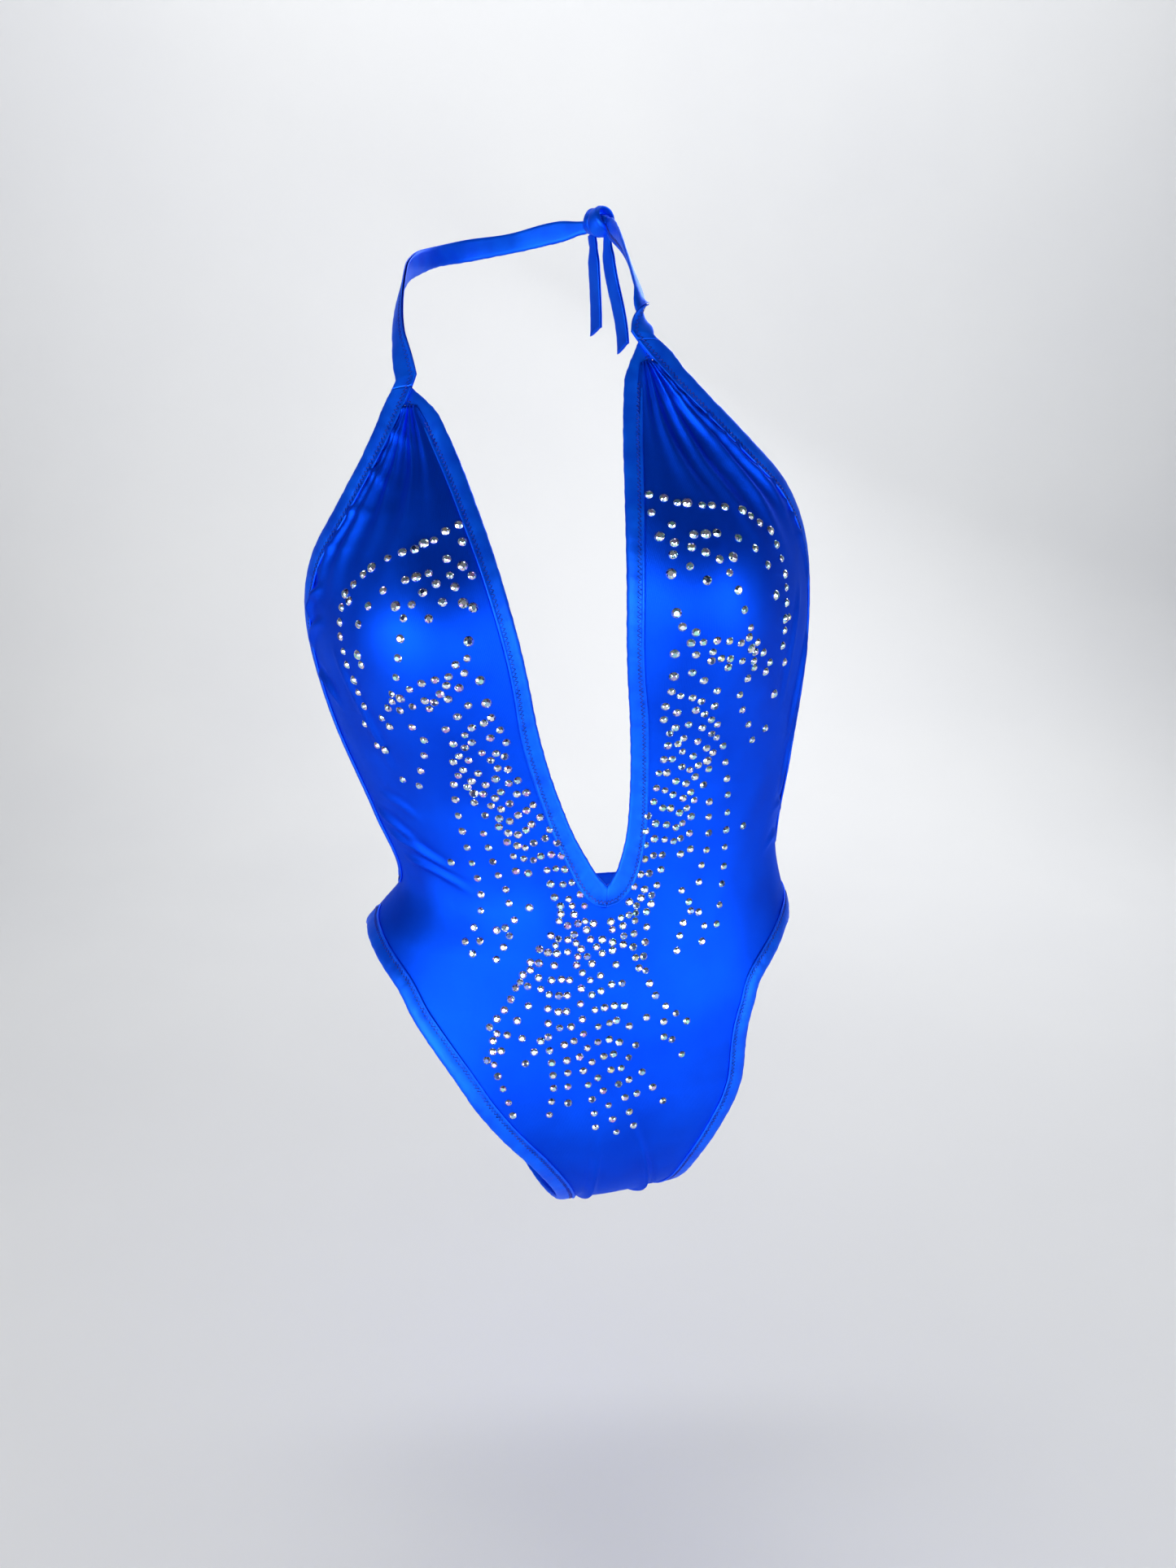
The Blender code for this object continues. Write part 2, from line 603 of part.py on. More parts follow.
def add_bindings(binding_look, elastic_look):
    short = UPPER_ROWS + 1 - NARROW_ROWS
    for side, word in SIDE_NAMES.items():
        for edge, seam in (("neckline", NECK_SEAMS[side]), ("side", SIDE_SEAMS[side])):
            start = BUTT_GAP if edge == "neckline" else WAIST_CORNER_GAP
            add_strip(f"{edge}_binding_{word}", binding_ring, seam, binding_look, start_gap=start)
            add_strip(f"{edge}_elastic_{word}", elastic_ring, seam, elastic_look, start_gap=BUTT_GAP,
                      rows=short)
        leg = LEG_SEAMS[side]
        add_strip(f"leg_binding_{word}", binding_ring, leg, binding_look, loop=True)
        add_strip(f"leg_elastic_{word}", elastic_ring, leg, elastic_look, loop=True)
    add_strip("back_waist_binding", binding_ring, WAIST_SEAM, binding_look)
    add_strip("back_waist_elastic", elastic_ring, WAIST_SEAM, elastic_look)


# ---------------------------------------------------------------- halter


def strap_base(side):
    lift = (PANEL_LAYER[0] + OUTER_LEAF[1]) / 2
    return lifted(np.array(STRAP_BASE), side, lift)


def from_neck(points):
    """Level directions from the neck's axis to the points."""
    flat = np.asarray(points, float) - np.array([*NECK_AXIS, 0.0])
    flat[..., 2] = 0.0
    return unit(flat)


def knot_centre():
    turn = math.radians(KNOT_ANGLE)
    return np.array([NECK_AXIS[0] + KNOT_REACH * math.cos(turn), NECK_AXIS[1] + KNOT_REACH * math.sin(turn),
                     KNOT_Z])


def knot_frame():
    """The knot's directions: round the neck, out from it, and up."""
    out = from_neck(knot_centre())
    return np.array([-out[1], out[0], 0.0]), out, np.array([0.0, 0.0, 1.0])


def evenly(points, step):
    """Points of a smooth curve through the given ones, about one step apart."""
    points = np.asarray(points, float)
    fine = through(np.arange(len(points)), points, np.linspace(0, len(points) - 1, 40 * len(points)))
    length = np.concatenate([[0.0], np.cumsum(np.linalg.norm(np.diff(fine, axis=0), axis=1))])
    places = np.linspace(0, length[-1], max(3, round(length[-1] / step) + 1))
    return np.stack([np.interp(places, length, fine[:, axis]) for axis in range(3)], axis=-1), places


def flat_rings(path, facing, width, thickness):
    """Rectangular rings along a path whose broad side faces the given way."""
    along = unit(np.gradient(path, axis=0))
    across = unit(np.cross(facing, along))
    normal = np.cross(along, across)
    w, t = width / 2, thickness / 2
    return [[p + a * u * w + n * v * t for u, v in ((-1, -1), (1, -1), (1, 1), (-1, 1))]
            for p, a, n in zip(path, across, normal)]


def hinge_line():
    bases = [strap_base(side) for side in (-1, 1)]
    return bases, unit(bases[1] - bases[0])


def add_strap(side, look, pivot):
    """A flat strap from the top of a cup round the neck to the knot."""
    bases, hinge = hinge_line()
    tangent = knot_frame()[0]
    end = knot_centre() - side * tangent * (KNOT_SIZE[0] / 2 + 0.0009)
    route = STRAP_ROUTE_LEFT if side > 0 else STRAP_ROUTE_RIGHT
    path, places = evenly([strap_base(side), *route, end], STRAP_STEP)
    facing = from_neck(path)
    level = np.clip(places / 0.03, 0.0, 1.0)[:, None]
    front = unit(np.cross(hinge, path[1] - path[0]))
    front = front * -np.sign(front[1])
    facing = unit(front * (1 - level) + facing * level)
    if side > 0:
        facing = half_turn(path, facing, places)
    rings = flat_rings(path, facing, STRAP_WIDTH, STRAP_THICKNESS)
    sweep("halter_strap_" + SIDE_NAMES[side], rings, look, pivot=pivot)


def half_turn(path, facing, places):
    """Facings that also turn the strap over once, over the stretch that the constants give."""
    along = unit(np.gradient(path, axis=0))
    share = np.clip((places - TWIST_FROM) / TWIST_OVER, 0.0, 1.0)
    angle = (math.pi * share * share * (3 - 2 * share))[:, None]
    beside = np.cross(along, facing)
    return facing * np.cos(angle) + beside * np.sin(angle)


def add_knot(look, pivot):
    """The tie's knot as one rounded lump."""
    around, out, up = knot_frame()
    half = np.array(KNOT_SIZE) / 2
    rings_up, sides = 7, 12
    rings = []
    for ring in range(1, rings_up):
        tilt = math.pi * ring / rings_up
        turns = np.arange(sides) * 2 * math.pi / sides
        along = -math.cos(tilt) * half[0]
        rings.append([knot_centre() + around * along + out * math.sin(tilt) * half[1] * math.cos(turn)
                      + up * math.sin(tilt) * half[2] * math.sin(turn) for turn in turns])
    sweep("tie_knot", rings, look, pivot=pivot)


def tail_top(side):
    around, out, up = knot_frame()
    drop = KNOT_SIZE[2] / 2 + 0.0018
    return knot_centre() - around * side * TAIL_SPACING / 2 + out * 0.001 - up * drop


def add_tail(side, look, pivot):
    """A loose end of the tie, hanging from the knot with a slight curl."""
    around, out, up = knot_frame()
    length = TAIL_LENGTHS[0 if side < 0 else 1]
    splay = math.radians(TAIL_SPLAY)
    down = -up * math.cos(splay) - around * side * math.sin(splay)
    places = np.linspace(0.0, 1.0, 13)[:, None]
    path = tail_top(side) + down * length * places + out * 0.006 * np.sin(places * 2.2) * places
    facing = np.broadcast_to(out, path.shape)
    sweep("tie_tail_" + SIDE_NAMES[side], flat_rings(path, facing, STRAP_WIDTH, STRAP_THICKNESS), look,
          pivot=pivot)


# ---------------------------------------------------------------- crystals


def add_crystal(name, point, side, look):
    """A flat-backed cut stone: a round base, a sloping crown and a small table."""
    angle, height = on_body(np.array(point), side)
    place = skin(angle, height)
    normal = outward(angle, height)
    beside = unit(np.cross(normal, [0.0, 0.0, 1.0]))
    above = np.cross(beside, normal)
    lift = OUTER_LEAF[0]
    rings = []
    for radius, rise in ((CRYSTAL_RADIUS, 0.0), (CRYSTAL_RADIUS, 0.0004), (CRYSTAL_TABLE, CRYSTAL_HEIGHT)):
        turns = np.arange(CRYSTAL_SIDES) * 2 * math.pi / CRYSTAL_SIDES
        rings.append([place + normal * (lift + rise) + (beside * math.cos(t) + above * math.sin(t)) * radius
                      for t in turns])
    sweep(name, rings, look)


# ---------------------------------------------------------------- build


def build():
    for old in list(bpy.data.objects):
        bpy.data.objects.remove(old)
    satin = material("royal_satin", (0.004, 0.075, 0.82), 0.32, 0.25)
    bound = material("royal_binding", (0.003, 0.05, 0.62), 0.38, 0.2)
    mesh_lining = material("lining", (0.02, 0.06, 0.35), 0.8)
    rubber = material("white_elastic", (0.85, 0.85, 0.83), 0.7)
    crystal = material("crystal", (0.85, 0.92, 1.0), 0.05, 0.6)

    add_front_panel(satin)
    add_back_panel(satin)
    add_gusset_lining(mesh_lining)
    add_bindings(bound, rubber)
    bases, _ = hinge_line()
    halter = add_pivot("halter_hinge", (bases[0] + bases[1]) / 2)
    for side in SIDE_NAMES:
        add_cup_lining(side, mesh_lining)
        add_strap(side, bound, halter)
        tail = add_pivot("tail_hinge_" + SIDE_NAMES[side], tail_top(side), halter)
        add_tail(side, bound, tail)
    add_knot(bound, halter)
    for number, point in enumerate(ACCENTS, 1):
        for side, word in SIDE_NAMES.items():
            add_crystal(f"accent_crystal_{word}_{number:02d}", point, side, crystal)
    bpy.context.view_layer.update()


build()
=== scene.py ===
"""Looks of the halter-neck competition leotard: satin panels, bound edges, stitching, ties and crystals.

The script repeats the garment's form and pattern outlines in metres, then builds fine meshes over them.
A place on the form is a pair: the angle round the body in degrees and the height along the spine. Sides
are -1 for the wearer's right, which is at -X, and +1 for the wearer's left.
"""

import math

import bmesh
import bpy
import numpy as np
from mathutils import Matrix, Vector


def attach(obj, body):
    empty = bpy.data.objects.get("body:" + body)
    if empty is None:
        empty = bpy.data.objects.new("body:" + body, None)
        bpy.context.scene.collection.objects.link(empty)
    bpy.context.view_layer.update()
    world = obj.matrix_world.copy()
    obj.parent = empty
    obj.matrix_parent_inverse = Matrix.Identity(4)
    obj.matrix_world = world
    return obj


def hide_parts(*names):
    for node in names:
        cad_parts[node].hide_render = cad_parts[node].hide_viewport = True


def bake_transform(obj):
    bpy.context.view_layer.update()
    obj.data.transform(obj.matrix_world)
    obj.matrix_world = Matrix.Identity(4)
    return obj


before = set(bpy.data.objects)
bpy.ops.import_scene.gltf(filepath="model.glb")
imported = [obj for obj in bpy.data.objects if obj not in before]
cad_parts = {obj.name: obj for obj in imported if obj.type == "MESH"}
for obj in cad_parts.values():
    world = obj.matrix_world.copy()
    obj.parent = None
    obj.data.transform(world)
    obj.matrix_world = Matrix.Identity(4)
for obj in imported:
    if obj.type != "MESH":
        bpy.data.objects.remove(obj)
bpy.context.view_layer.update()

SIDE_NAMES = {-1: "right", 1: "left"}
MM = 0.001

# ---------------------------------------------------------------- the torso form, as in the CAD

HIP_LEVEL = -0.115
CROTCH_DROP = 0.106
UNDER_RADIUS = 0.105
# height along the spine, half width, depth to the front, depth to the back, shift towards +X
SECTIONS = (
    (-0.115, 0.160, 0.088, 0.108, -0.001),
    (-0.070, 0.146, 0.087, 0.102, -0.004),
    (-0.035, 0.127, 0.082, 0.092, -0.006),
    (0.000, 0.113, 0.078, 0.080, 0.000),
    (0.050, 0.123, 0.080, 0.080, 0.000),
    (0.110, 0.135, 0.084, 0.082, 0.000),
    (0.170, 0.140, 0.086, 0.090, 0.000),
    (0.230, 0.140, 0.078, 0.092, 0.000),
    (0.300, 0.130, 0.062, 0.080, 0.000),
)
# height along the spine, lean towards -X and turn of the front towards +X, both in degrees
POSTURE = (
    (-0.250, -4.0, 20.0),
    (-0.115, -4.0, 16.0),
    (-0.050, -2.0, 9.0),
    (0.000, 3.0, 8.0),
    (0.080, 6.0, 4.5),
    (0.160, 6.5, 2.5),
    (0.230, 8.0, 2.0),
    (0.300, 10.0, 2.0),
)
BUST_X = 0.072
BUST_HEIGHT = 0.160
BUST_SWELL = 0.040
BUST_SPREAD = 0.052
BUST_ABOVE = 0.060
BUST_BELOW = 0.075
# height and the angle by which the garment has slipped round the body, in degrees
SLIP_FRONT = ((-0.344, 0.0), (-0.235, 4.0), (-0.170, 1.0), (-0.138, -1.5), (-0.060, -6.0), (0.0, -1.0),
              (0.100, 0.5), (0.180, 1.5), (0.280, 1.0))
SLIP_BACK = ((-0.216, 0.0), (-0.060, -6.0), (0.0, -1.0), (0.1, 0.0))

# ---------------------------------------------------------------- the pattern, as in the CAD

CROTCH_FRONT = -0.344
CROTCH_BACK = 2 * HIP_LEVEL - CROTCH_FRONT - math.pi * UNDER_RADIUS
CENTRE_FRONT = ((0, CROTCH_FRONT), (0, -0.305), (0, -0.268), (0, -0.235), (0, -0.200), (0, -0.168),
                (0, -0.135), (0, -0.105), (0, -0.083), (0, -0.062), (0, -0.042), (0, -0.030))
LEG_SEAM_FRONT = ((11.5, CROTCH_FRONT), (9.8, -0.305), (9.3, -0.268), (10, -0.235), (12.4, -0.197),
                  (16.4, -0.168), (23.3, -0.132), (29.5, -0.095), (37.5, -0.069), (47, -0.050),
                  (68, -0.0335), (90, -0.0265))
NECK_SEAM = ((0, -0.004), (4, -0.001), (8, 0.010), (11.3, 0.034), (13.0, 0.065), (13.6, 0.095),
             (13.2, 0.125), (13.6, 0.150), (15, 0.180), (17.3, 0.208), (20.3, 0.236), (25.0, 0.269))
NECK_EDGE = ((0, 0.0075), (1.2, 0.0105), (3.6, 0.019), (6.8, 0.039), (9.0, 0.068), (9.9, 0.097),
             (10.1, 0.127), (10.7, 0.152), (12.2, 0.184), (14.3, 0.213), (17.2, 0.241), (23.4, 0.2725))
SIDE_SEAM = ((90, -0.0045), (84, -0.001), (78.5, 0.012), (75, 0.040), (73.5, 0.080), (73, 0.115),
             (71.5, 0.145), (66, 0.168), (55, 0.196), (45, 0.216), (36, 0.241), (27.3, 0.269))
SIDE_EDGE = ((90, 0.004), (86.5, 0.0075), (82.5, 0.0165), (79.5, 0.041), (78.2, 0.080),
             (77.8, 0.116), (76.2, 0.148), (70.5, 0.173), (59, 0.202), (48.7, 0.2225),
             (39.3, 0.2465), (28.6, 0.2728))
STRAP_BASE = (25.9, 0.2762)
CENTRE_BACK = ((0, CROTCH_BACK), (0, -0.195), (0, -0.175), (0, -0.157), (0, -0.139), (0, -0.121),
               (0, -0.103), (0, -0.085))
LEG_SEAM_BACK = ((11.5, CROTCH_BACK), (15, -0.192), (21, -0.166), (30, -0.139), (41, -0.110),
                 (55, -0.080), (72, -0.050), (90, -0.0265))
BACK_WAIST_DIP = -0.056
CUP_LINING_HEIGHT = 0.062

# Heights above the skin.
LINING_LOW, LINING_HIGH = 0.4 * MM, 1.0 * MM
PANEL_LOW, PANEL_HIGH = 1.3 * MM, 1.9 * MM
STRIP_MIDDLE = 1.7 * MM
NECK_WIDTH, SIDE_WIDTH, LEG_WIDTH, WAIST_WIDTH = 10.0 * MM, 9.5 * MM, 10.5 * MM, 8.5 * MM
TONGUE = 2.5 * MM

# ---------------------------------------------------------------- halter, as in the CAD

NECK_AXIS = (-0.036, 0.010)
KNOT_ANGLE = 35.0
KNOT_REACH = 0.0590
KNOT_Z = 0.3615
KNOT_SIZE = (0.024, 0.015, 0.016)
STRAP_WIDTH = 0.0105
STRAP_ROUTE_RIGHT = ((-0.0909, -0.052, 0.2910), (-0.0922, -0.037, 0.3084), (-0.0912, -0.015, 0.3250),
                     (-0.0895, 0.008, 0.3350), (-0.0820, 0.035, 0.3440), (-0.0640, 0.056, 0.3510),
                     (-0.0380, 0.064, 0.3560), (-0.0150, 0.0600, 0.3600))
STRAP_ROUTE_LEFT = ((0.0324, -0.054, 0.2961), (0.0312, -0.037, 0.3138), (0.0270, -0.018, 0.3321),
                    (0.0225, 0.002, 0.3473))
TWIST_FROM = 0.012
TWIST_OVER = 0.026
TAIL_LENGTHS = (0.046, 0.058)
TAIL_SPACING = 0.0135
TAIL_SPLAY = 7.0
TAIL_TUCK = 0.0062  # how far a tail runs on up into the knot


# ---------------------------------------------------------------- curves and the form


def through(knots, values, places, flat_start=False):
    """A smooth curve through the values at the knots, read at the places."""
    knots = np.asarray(knots, float)
    values = np.asarray(values, float)
    places = np.asarray(places, float)
    slopes = np.empty_like(values)
    slopes[1:-1] = (values[2:] - values[:-2]) / (knots[2:] - knots[:-2])[:, None]
    slopes[0] = 0.0 if flat_start else (values[1] - values[0]) / (knots[1] - knots[0])
    slopes[-1] = (values[-1] - values[-2]) / (knots[-1] - knots[-2])
    cell = np.clip(np.searchsorted(knots, places, side="right") - 1, 0, len(knots) - 2)
    span = (knots[cell + 1] - knots[cell])[..., None]
    t = np.clip((places - knots[cell])[..., None] / span, 0.0, 1.0)
    start = (2 * t**3 - 3 * t**2 + 1) * values[cell] + (t**3 - 2 * t**2 + t) * span * slopes[cell]
    end = (3 * t**2 - 2 * t**3) * values[cell + 1] + (t**3 - t**2) * span * slopes[cell + 1]
    return start + end


def table_at(table, heights):
    table = np.asarray(table, float)
    return through(table[:, 0], table[:, 1:], heights, True)


def outline(points, shares):
    """The outline read at shares of its length in control points, as an array of (angle, height)."""
    points = np.asarray(points, float)
    return through(np.arange(len(points)), points, np.asarray(shares) * (len(points) - 1))


def unit(vectors):
    return vectors / np.maximum(np.linalg.norm(vectors, axis=-1, keepdims=True), 1e-12)


def smooth_step(value, low, high):
    t = np.clip((np.asarray(value, float) - low) / (high - low), 0.0, 1.0)
    return t * t * (3 - 2 * t)


SPINE_HEIGHTS = np.linspace(-0.26, 0.40, 661)


def spine_line():
    """How far the leaning spine has moved sideways and upwards at each of SPINE_HEIGHTS."""
    lean = np.radians(table_at(POSTURE, SPINE_HEIGHTS)[:, 0])
    step = SPINE_HEIGHTS[1] - SPINE_HEIGHTS[0]
    steps = np.stack([-np.sin(lean), np.cos(lean)], axis=-1)
    middle = (steps[1:] + steps[:-1]) / 2
    line = np.concatenate([[[0.0, 0.0]], np.cumsum(middle * step, axis=0)])
    return line - line[np.argmin(np.abs(SPINE_HEIGHTS))]


SPINE = spine_line()


def skin(angle, height, back=False):
    """The point of the form at an angle and a height."""
    angle = np.radians(np.asarray(angle, float))
    height = np.asarray(height, float)
    angle, height = np.broadcast_arrays(angle, height)
    level = np.maximum(height, HIP_LEVEL)
    half_width, front, rear, shift = np.moveaxis(table_at(SECTIONS, level), -1, 0)
    facing = np.cos(angle) * (1.0 if back else -1.0)
    x = half_width * np.sin(angle)
    y = np.where(facing < 0, front, rear) * facing
    rise = np.where(level > BUST_HEIGHT, BUST_ABOVE, BUST_BELOW)
    swell = BUST_SWELL * np.exp(
        -(((np.abs(x) - BUST_X) / BUST_SPREAD) ** 2) - ((level - BUST_HEIGHT) / rise) ** 2
    )
    swell = np.where(facing < 0, swell * np.sqrt(np.abs(facing)), 0.0)
    y = y - swell * np.cos(angle * 0.55)
    x = x + swell * np.sin(angle * 0.55)
    turned = np.clip((HIP_LEVEL - height) / UNDER_RADIUS, 0.0, math.pi)
    turned = math.pi - turned if back else turned
    depth = np.where(turned < math.pi / 2, front, rear)
    reach = 1 / np.sqrt((np.cos(turned) / depth) ** 2 + (np.sin(turned) / CROTCH_DROP) ** 2)
    under = height < HIP_LEVEL
    y = np.where(under, -reach * np.cos(turned) * np.abs(facing), y)
    z = np.where(under, HIP_LEVEL - reach * np.sin(turned) * np.abs(facing), level)
    return posed(x + shift, y, z, level)


def posed(x, y, z, level):
    """The place that a point of the upright form takes when the spine leans and turns."""
    lean, turn = np.moveaxis(np.radians(table_at(POSTURE, level)), -1, 0)
    aside = np.interp(level, SPINE_HEIGHTS, SPINE[:, 0])
    up = np.interp(level, SPINE_HEIGHTS, SPINE[:, 1])
    across = x * np.cos(turn) - y * np.sin(turn)
    rise = z - level
    return np.stack([
        aside + across * np.cos(lean) - rise * np.sin(lean),
        x * np.sin(turn) + y * np.cos(turn),
        up + across * np.sin(lean) + rise * np.cos(lean),
    ], axis=-1)


def outward(angle, height, back=False):
    """The form's outward normal at an angle and a height."""
    step_angle, step_height = 0.01, 1e-4
    around = skin(np.add(angle, step_angle), height, back)
    around = around - skin(np.subtract(angle, step_angle), height, back)
    along = skin(angle, np.add(height, step_height), back)
    along = along - skin(angle, np.subtract(height, step_height), back)
    normal = unit(np.cross(around, along))
    return -normal if back else normal


def on_body(points, side, back=False):
    """Pattern points of one half laid on the body: mirrored by side and slipped round it."""
    points = np.asarray(points, float)
    slip = table_at(SLIP_BACK if back else SLIP_FRONT, points[..., 1])[..., 0]
    return side * points[..., 0] + (-slip if back else slip), points[..., 1]


def lifted(points, side, lift, back=False):
    """World points at a lift above the skin, which may differ from point to point."""
    angle, height = on_body(points, side, back)
    lift = np.asarray(lift, float)
    lift = lift[..., None] if lift.ndim else lift
    return skin(angle, height, back) + outward(angle, height, back) * lift


# ---------------------------------------------------------------- folds of the satin


def cup_share(angle, height):
    """Where a point lies between the neckline, 0, and the open side, 1. Lines of equal share fan out
    from the strap."""
    neck = np.asarray(NECK_SEAM)
    side = np.asarray(SIDE_SEAM)
    inner = np.interp(height, neck[:, 1], neck[:, 0])
    outer = np.interp(height, side[:, 1], side[:, 0])
    return (angle - inner) / np.maximum(outer - inner, 1.0)


def ridge(value, place, width):
    return np.exp(-(((value - place) / width) ** 2))


FOLD_DEPTH = 1.7  # how much deeper folds and creases lie than the rises listed below
PUCKER_DEPTH = 1.25

# share across the cup, width, rise in mm, lowest height that the fold reaches
CUP_FOLDS = {
    -1: ((0.16, 0.07, 1.0, 0.205), (0.36, 0.075, 1.7, 0.190), (0.58, 0.07, 1.5, 0.196),
         (0.76, 0.06, 1.4, 0.182), (0.90, 0.05, 1.1, 0.176)),
    1: ((0.10, 0.05, 0.8, 0.215), (0.30, 0.065, 1.6, 0.188), (0.50, 0.055, 1.8, 0.180),
        (0.70, 0.06, 1.9, 0.172), (0.87, 0.05, 1.4, 0.182)),
}
# angle and height of both ends of a crease, half width in mm, rise in mm
CREASES = {
    -1: ((67, 0.166, 52, 0.186, 2.2, 1.5), (71, 0.152, 55, 0.168, 2.3, 1.5),
         (73, 0.138, 60, 0.120, 2.6, 1.2),
         (70, 0.040, 44, 0.018, 2.4, 1.1), (72, 0.054, 52, 0.030, 2.6, 0.9),
         (66, 0.024, 40, 0.006, 2.2, 0.9),
         (62, 0.066, 48, 0.052, 2.4, 0.6), (5.8, -0.288, 5.1, -0.146, 1.5, 1.1),
         (52, 0.152, 49, 0.084, 2.6, 0.8)),
    1: ((71, 0.150, 58, 0.182, 3.0, 0.9), (72, 0.124, 66, 0.060, 3.2, 1.2),
        (73, 0.090, 68, 0.030, 2.6, 0.9),
        (80, 0.016, 62, 0.026, 2.4, 0.8), (78, 0.004, 58, 0.004, 2.2, 0.6),
        (3.8, -0.288, 2.5, -0.136, 1.5, 1.5),
        (58, 0.150, 54, 0.086, 2.8, 0.7)),
}
PUCKERS = ((0.268, 0.9), (0.258, 1.3), (0.249, 1.0), (0.240, 1.5), (0.2315, 0.9), (0.223, 1.4),
           (0.213, 0.8),
           (0.205, 1.2), (0.195, 0.8), (0.186, 1.0), (0.176, 0.6))


def crease_rise(angle, height, crease):
    """Height of one straight soft crease, which dies away at its ends."""
    angle_a, height_a, angle_b, height_b, half_width, rise = crease
    metres = 0.0021 * np.maximum(0.15, np.cos(np.radians(angle) * 0.3))
    a = np.stack([(angle - angle_a) * metres, height - height_a], axis=-1)
    line = np.stack([(angle_b - angle_a) * metres, np.full_like(angle, height_b - height_a)], axis=-1)
    length = np.linalg.norm(line, axis=-1)
    along = (a * line).sum(-1) / length**2
    off = (a[..., 0] * line[..., 1] - a[..., 1] * line[..., 0]) / length
    bend = 0.004 * np.sin(np.clip(along, 0, 1) * math.pi)
    fade = smooth_step(along, -0.12, 0.25) * (1 - smooth_step(along, 0.6, 1.1))
    width = half_width * MM
    crest = np.exp(-(((off - bend) / width) ** 2))
    trough = 0.35 * np.exp(-(((off - bend - 2.2 * width) / width) ** 2))
    return FOLD_DEPTH * rise * MM * (crest - trough) * fade


def folds(angle, height, side):
    """How far the satin stands above its plain lay, from soft folds, gathers and creases."""
    angle = np.asarray(angle, float)
    height = np.asarray(height, float)
    share = cup_share(angle, height)
    rise = np.zeros(np.broadcast(angle, height).shape)
    top = 1 - smooth_step(height, 0.258, 0.272)
    for place, width, high, lowest in CUP_FOLDS[side]:
        drift = place + 0.03 * np.sin(height * 60 + place * 9)
        reach = smooth_step(height, lowest - 0.012, lowest + 0.035)
        rise = rise + FOLD_DEPTH * high * MM * ridge(share, drift, width) * reach * (0.35 + 0.65 * top)
    seam_side = np.asarray(SIDE_SEAM)
    beside = (np.interp(height, seam_side[:, 1], seam_side[:, 0]) - angle) * 2.1 * MM
    for number, (place, high) in enumerate(PUCKERS):
        slope = 0.35 + 0.25 * math.sin(number * 2.4)
        line = place - 0.001 * side * math.cos(number * 1.7) - beside * slope
        reach = (5.5 + 3.0 * math.sin(number * 3.1 + side)) * MM
        fade = np.exp(-np.maximum(beside, 0) / reach)
        rise = rise + PUCKER_DEPTH * high * MM * ridge(height, line, 2.2 * MM) * fade
    for crease in CREASES[side]:
        rise = rise + crease_rise(angle, height, crease)
    slow = np.sin(angle * 0.21 + height * 41 + side) * np.sin(height * 57 - angle * 0.11 + 2 * side)
    slow = slow + 0.6 * np.sin(angle * 0.37 - height * 83)
    return rise + 0.16 * MM * (slow + 1.0)


# ---------------------------------------------------------------- meshes


def mesh_piece(name, points, faces, look, uv=None, smooth=True):
    """A mesh object from arrays of points and faces. uv gives metres along the cloth for each point."""
    mesh = bpy.data.meshes.new(name)
    mesh.from_pydata(np.asarray(points, float).tolist(), [], faces)
    mesh.materials.append(look)
    if uv is not None:
        layer = mesh.uv_layers.new(name="cloth")
        corner = np.zeros(len(mesh.loops), np.int32)
        mesh.loops.foreach_get("vertex_index", corner)
        layer.data.foreach_set("uv", np.asarray(uv, np.float32)[corner].ravel())
    mesh.polygons.foreach_set("use_smooth", [smooth] * len(mesh.polygons))
    mesh.update()
    made = bpy.data.objects.new(name, mesh)
    bpy.context.scene.collection.objects.link(made)
    return made


def face_outwards(made):
    """Turn the faces round if the closed mesh is inside out."""
    work = bmesh.new()
    work.from_mesh(made.data)
    if work.calc_volume(signed=True) < 0:
        bmesh.ops.reverse_faces(work, faces=work.faces)
        work.to_mesh(made.data)
    work.free()
    made.data.update()


def grid_faces(rows, columns, loop=False):
    """Quads of a grid of rows by columns points. With loop the last row joins the first."""
    faces = []
    for row in range(rows if loop else rows - 1):
        ahead = (row + 1) % rows
        for column in range(columns - 1):
            faces.append((row * columns + column, row * columns + column + 1,
                          ahead * columns + column + 1, ahead * columns + column))
    return faces


def thick_grid(name, low, high, look, uv):
    """A closed cloth from two grids of points, shape rows x columns x 3."""
    rows, columns = low.shape[:2]
    count = rows * columns
    top = grid_faces(rows, columns)
    faces = [tuple(count + v for v in face) for face in top]
    faces += [tuple(reversed(face)) for face in top]
    rim = [column for column in range(columns)]
    rim += [row * columns + columns - 1 for row in range(1, rows)]
    rim += [(rows - 1) * columns + column for column in range(columns - 2, -1, -1)]
    rim += [row * columns for row in range(rows - 2, 0, -1)]
    for a, b in zip(rim, rim[1:] + rim[:1]):
        faces.append((a, b, count + b, count + a))
    points = np.concatenate([low.reshape(-1, 3), high.reshape(-1, 3)])
    uv = np.concatenate([uv.reshape(-1, 2)] * 2)
    made = mesh_piece(name, points, faces, look, uv)
    face_outwards(made)
    return made


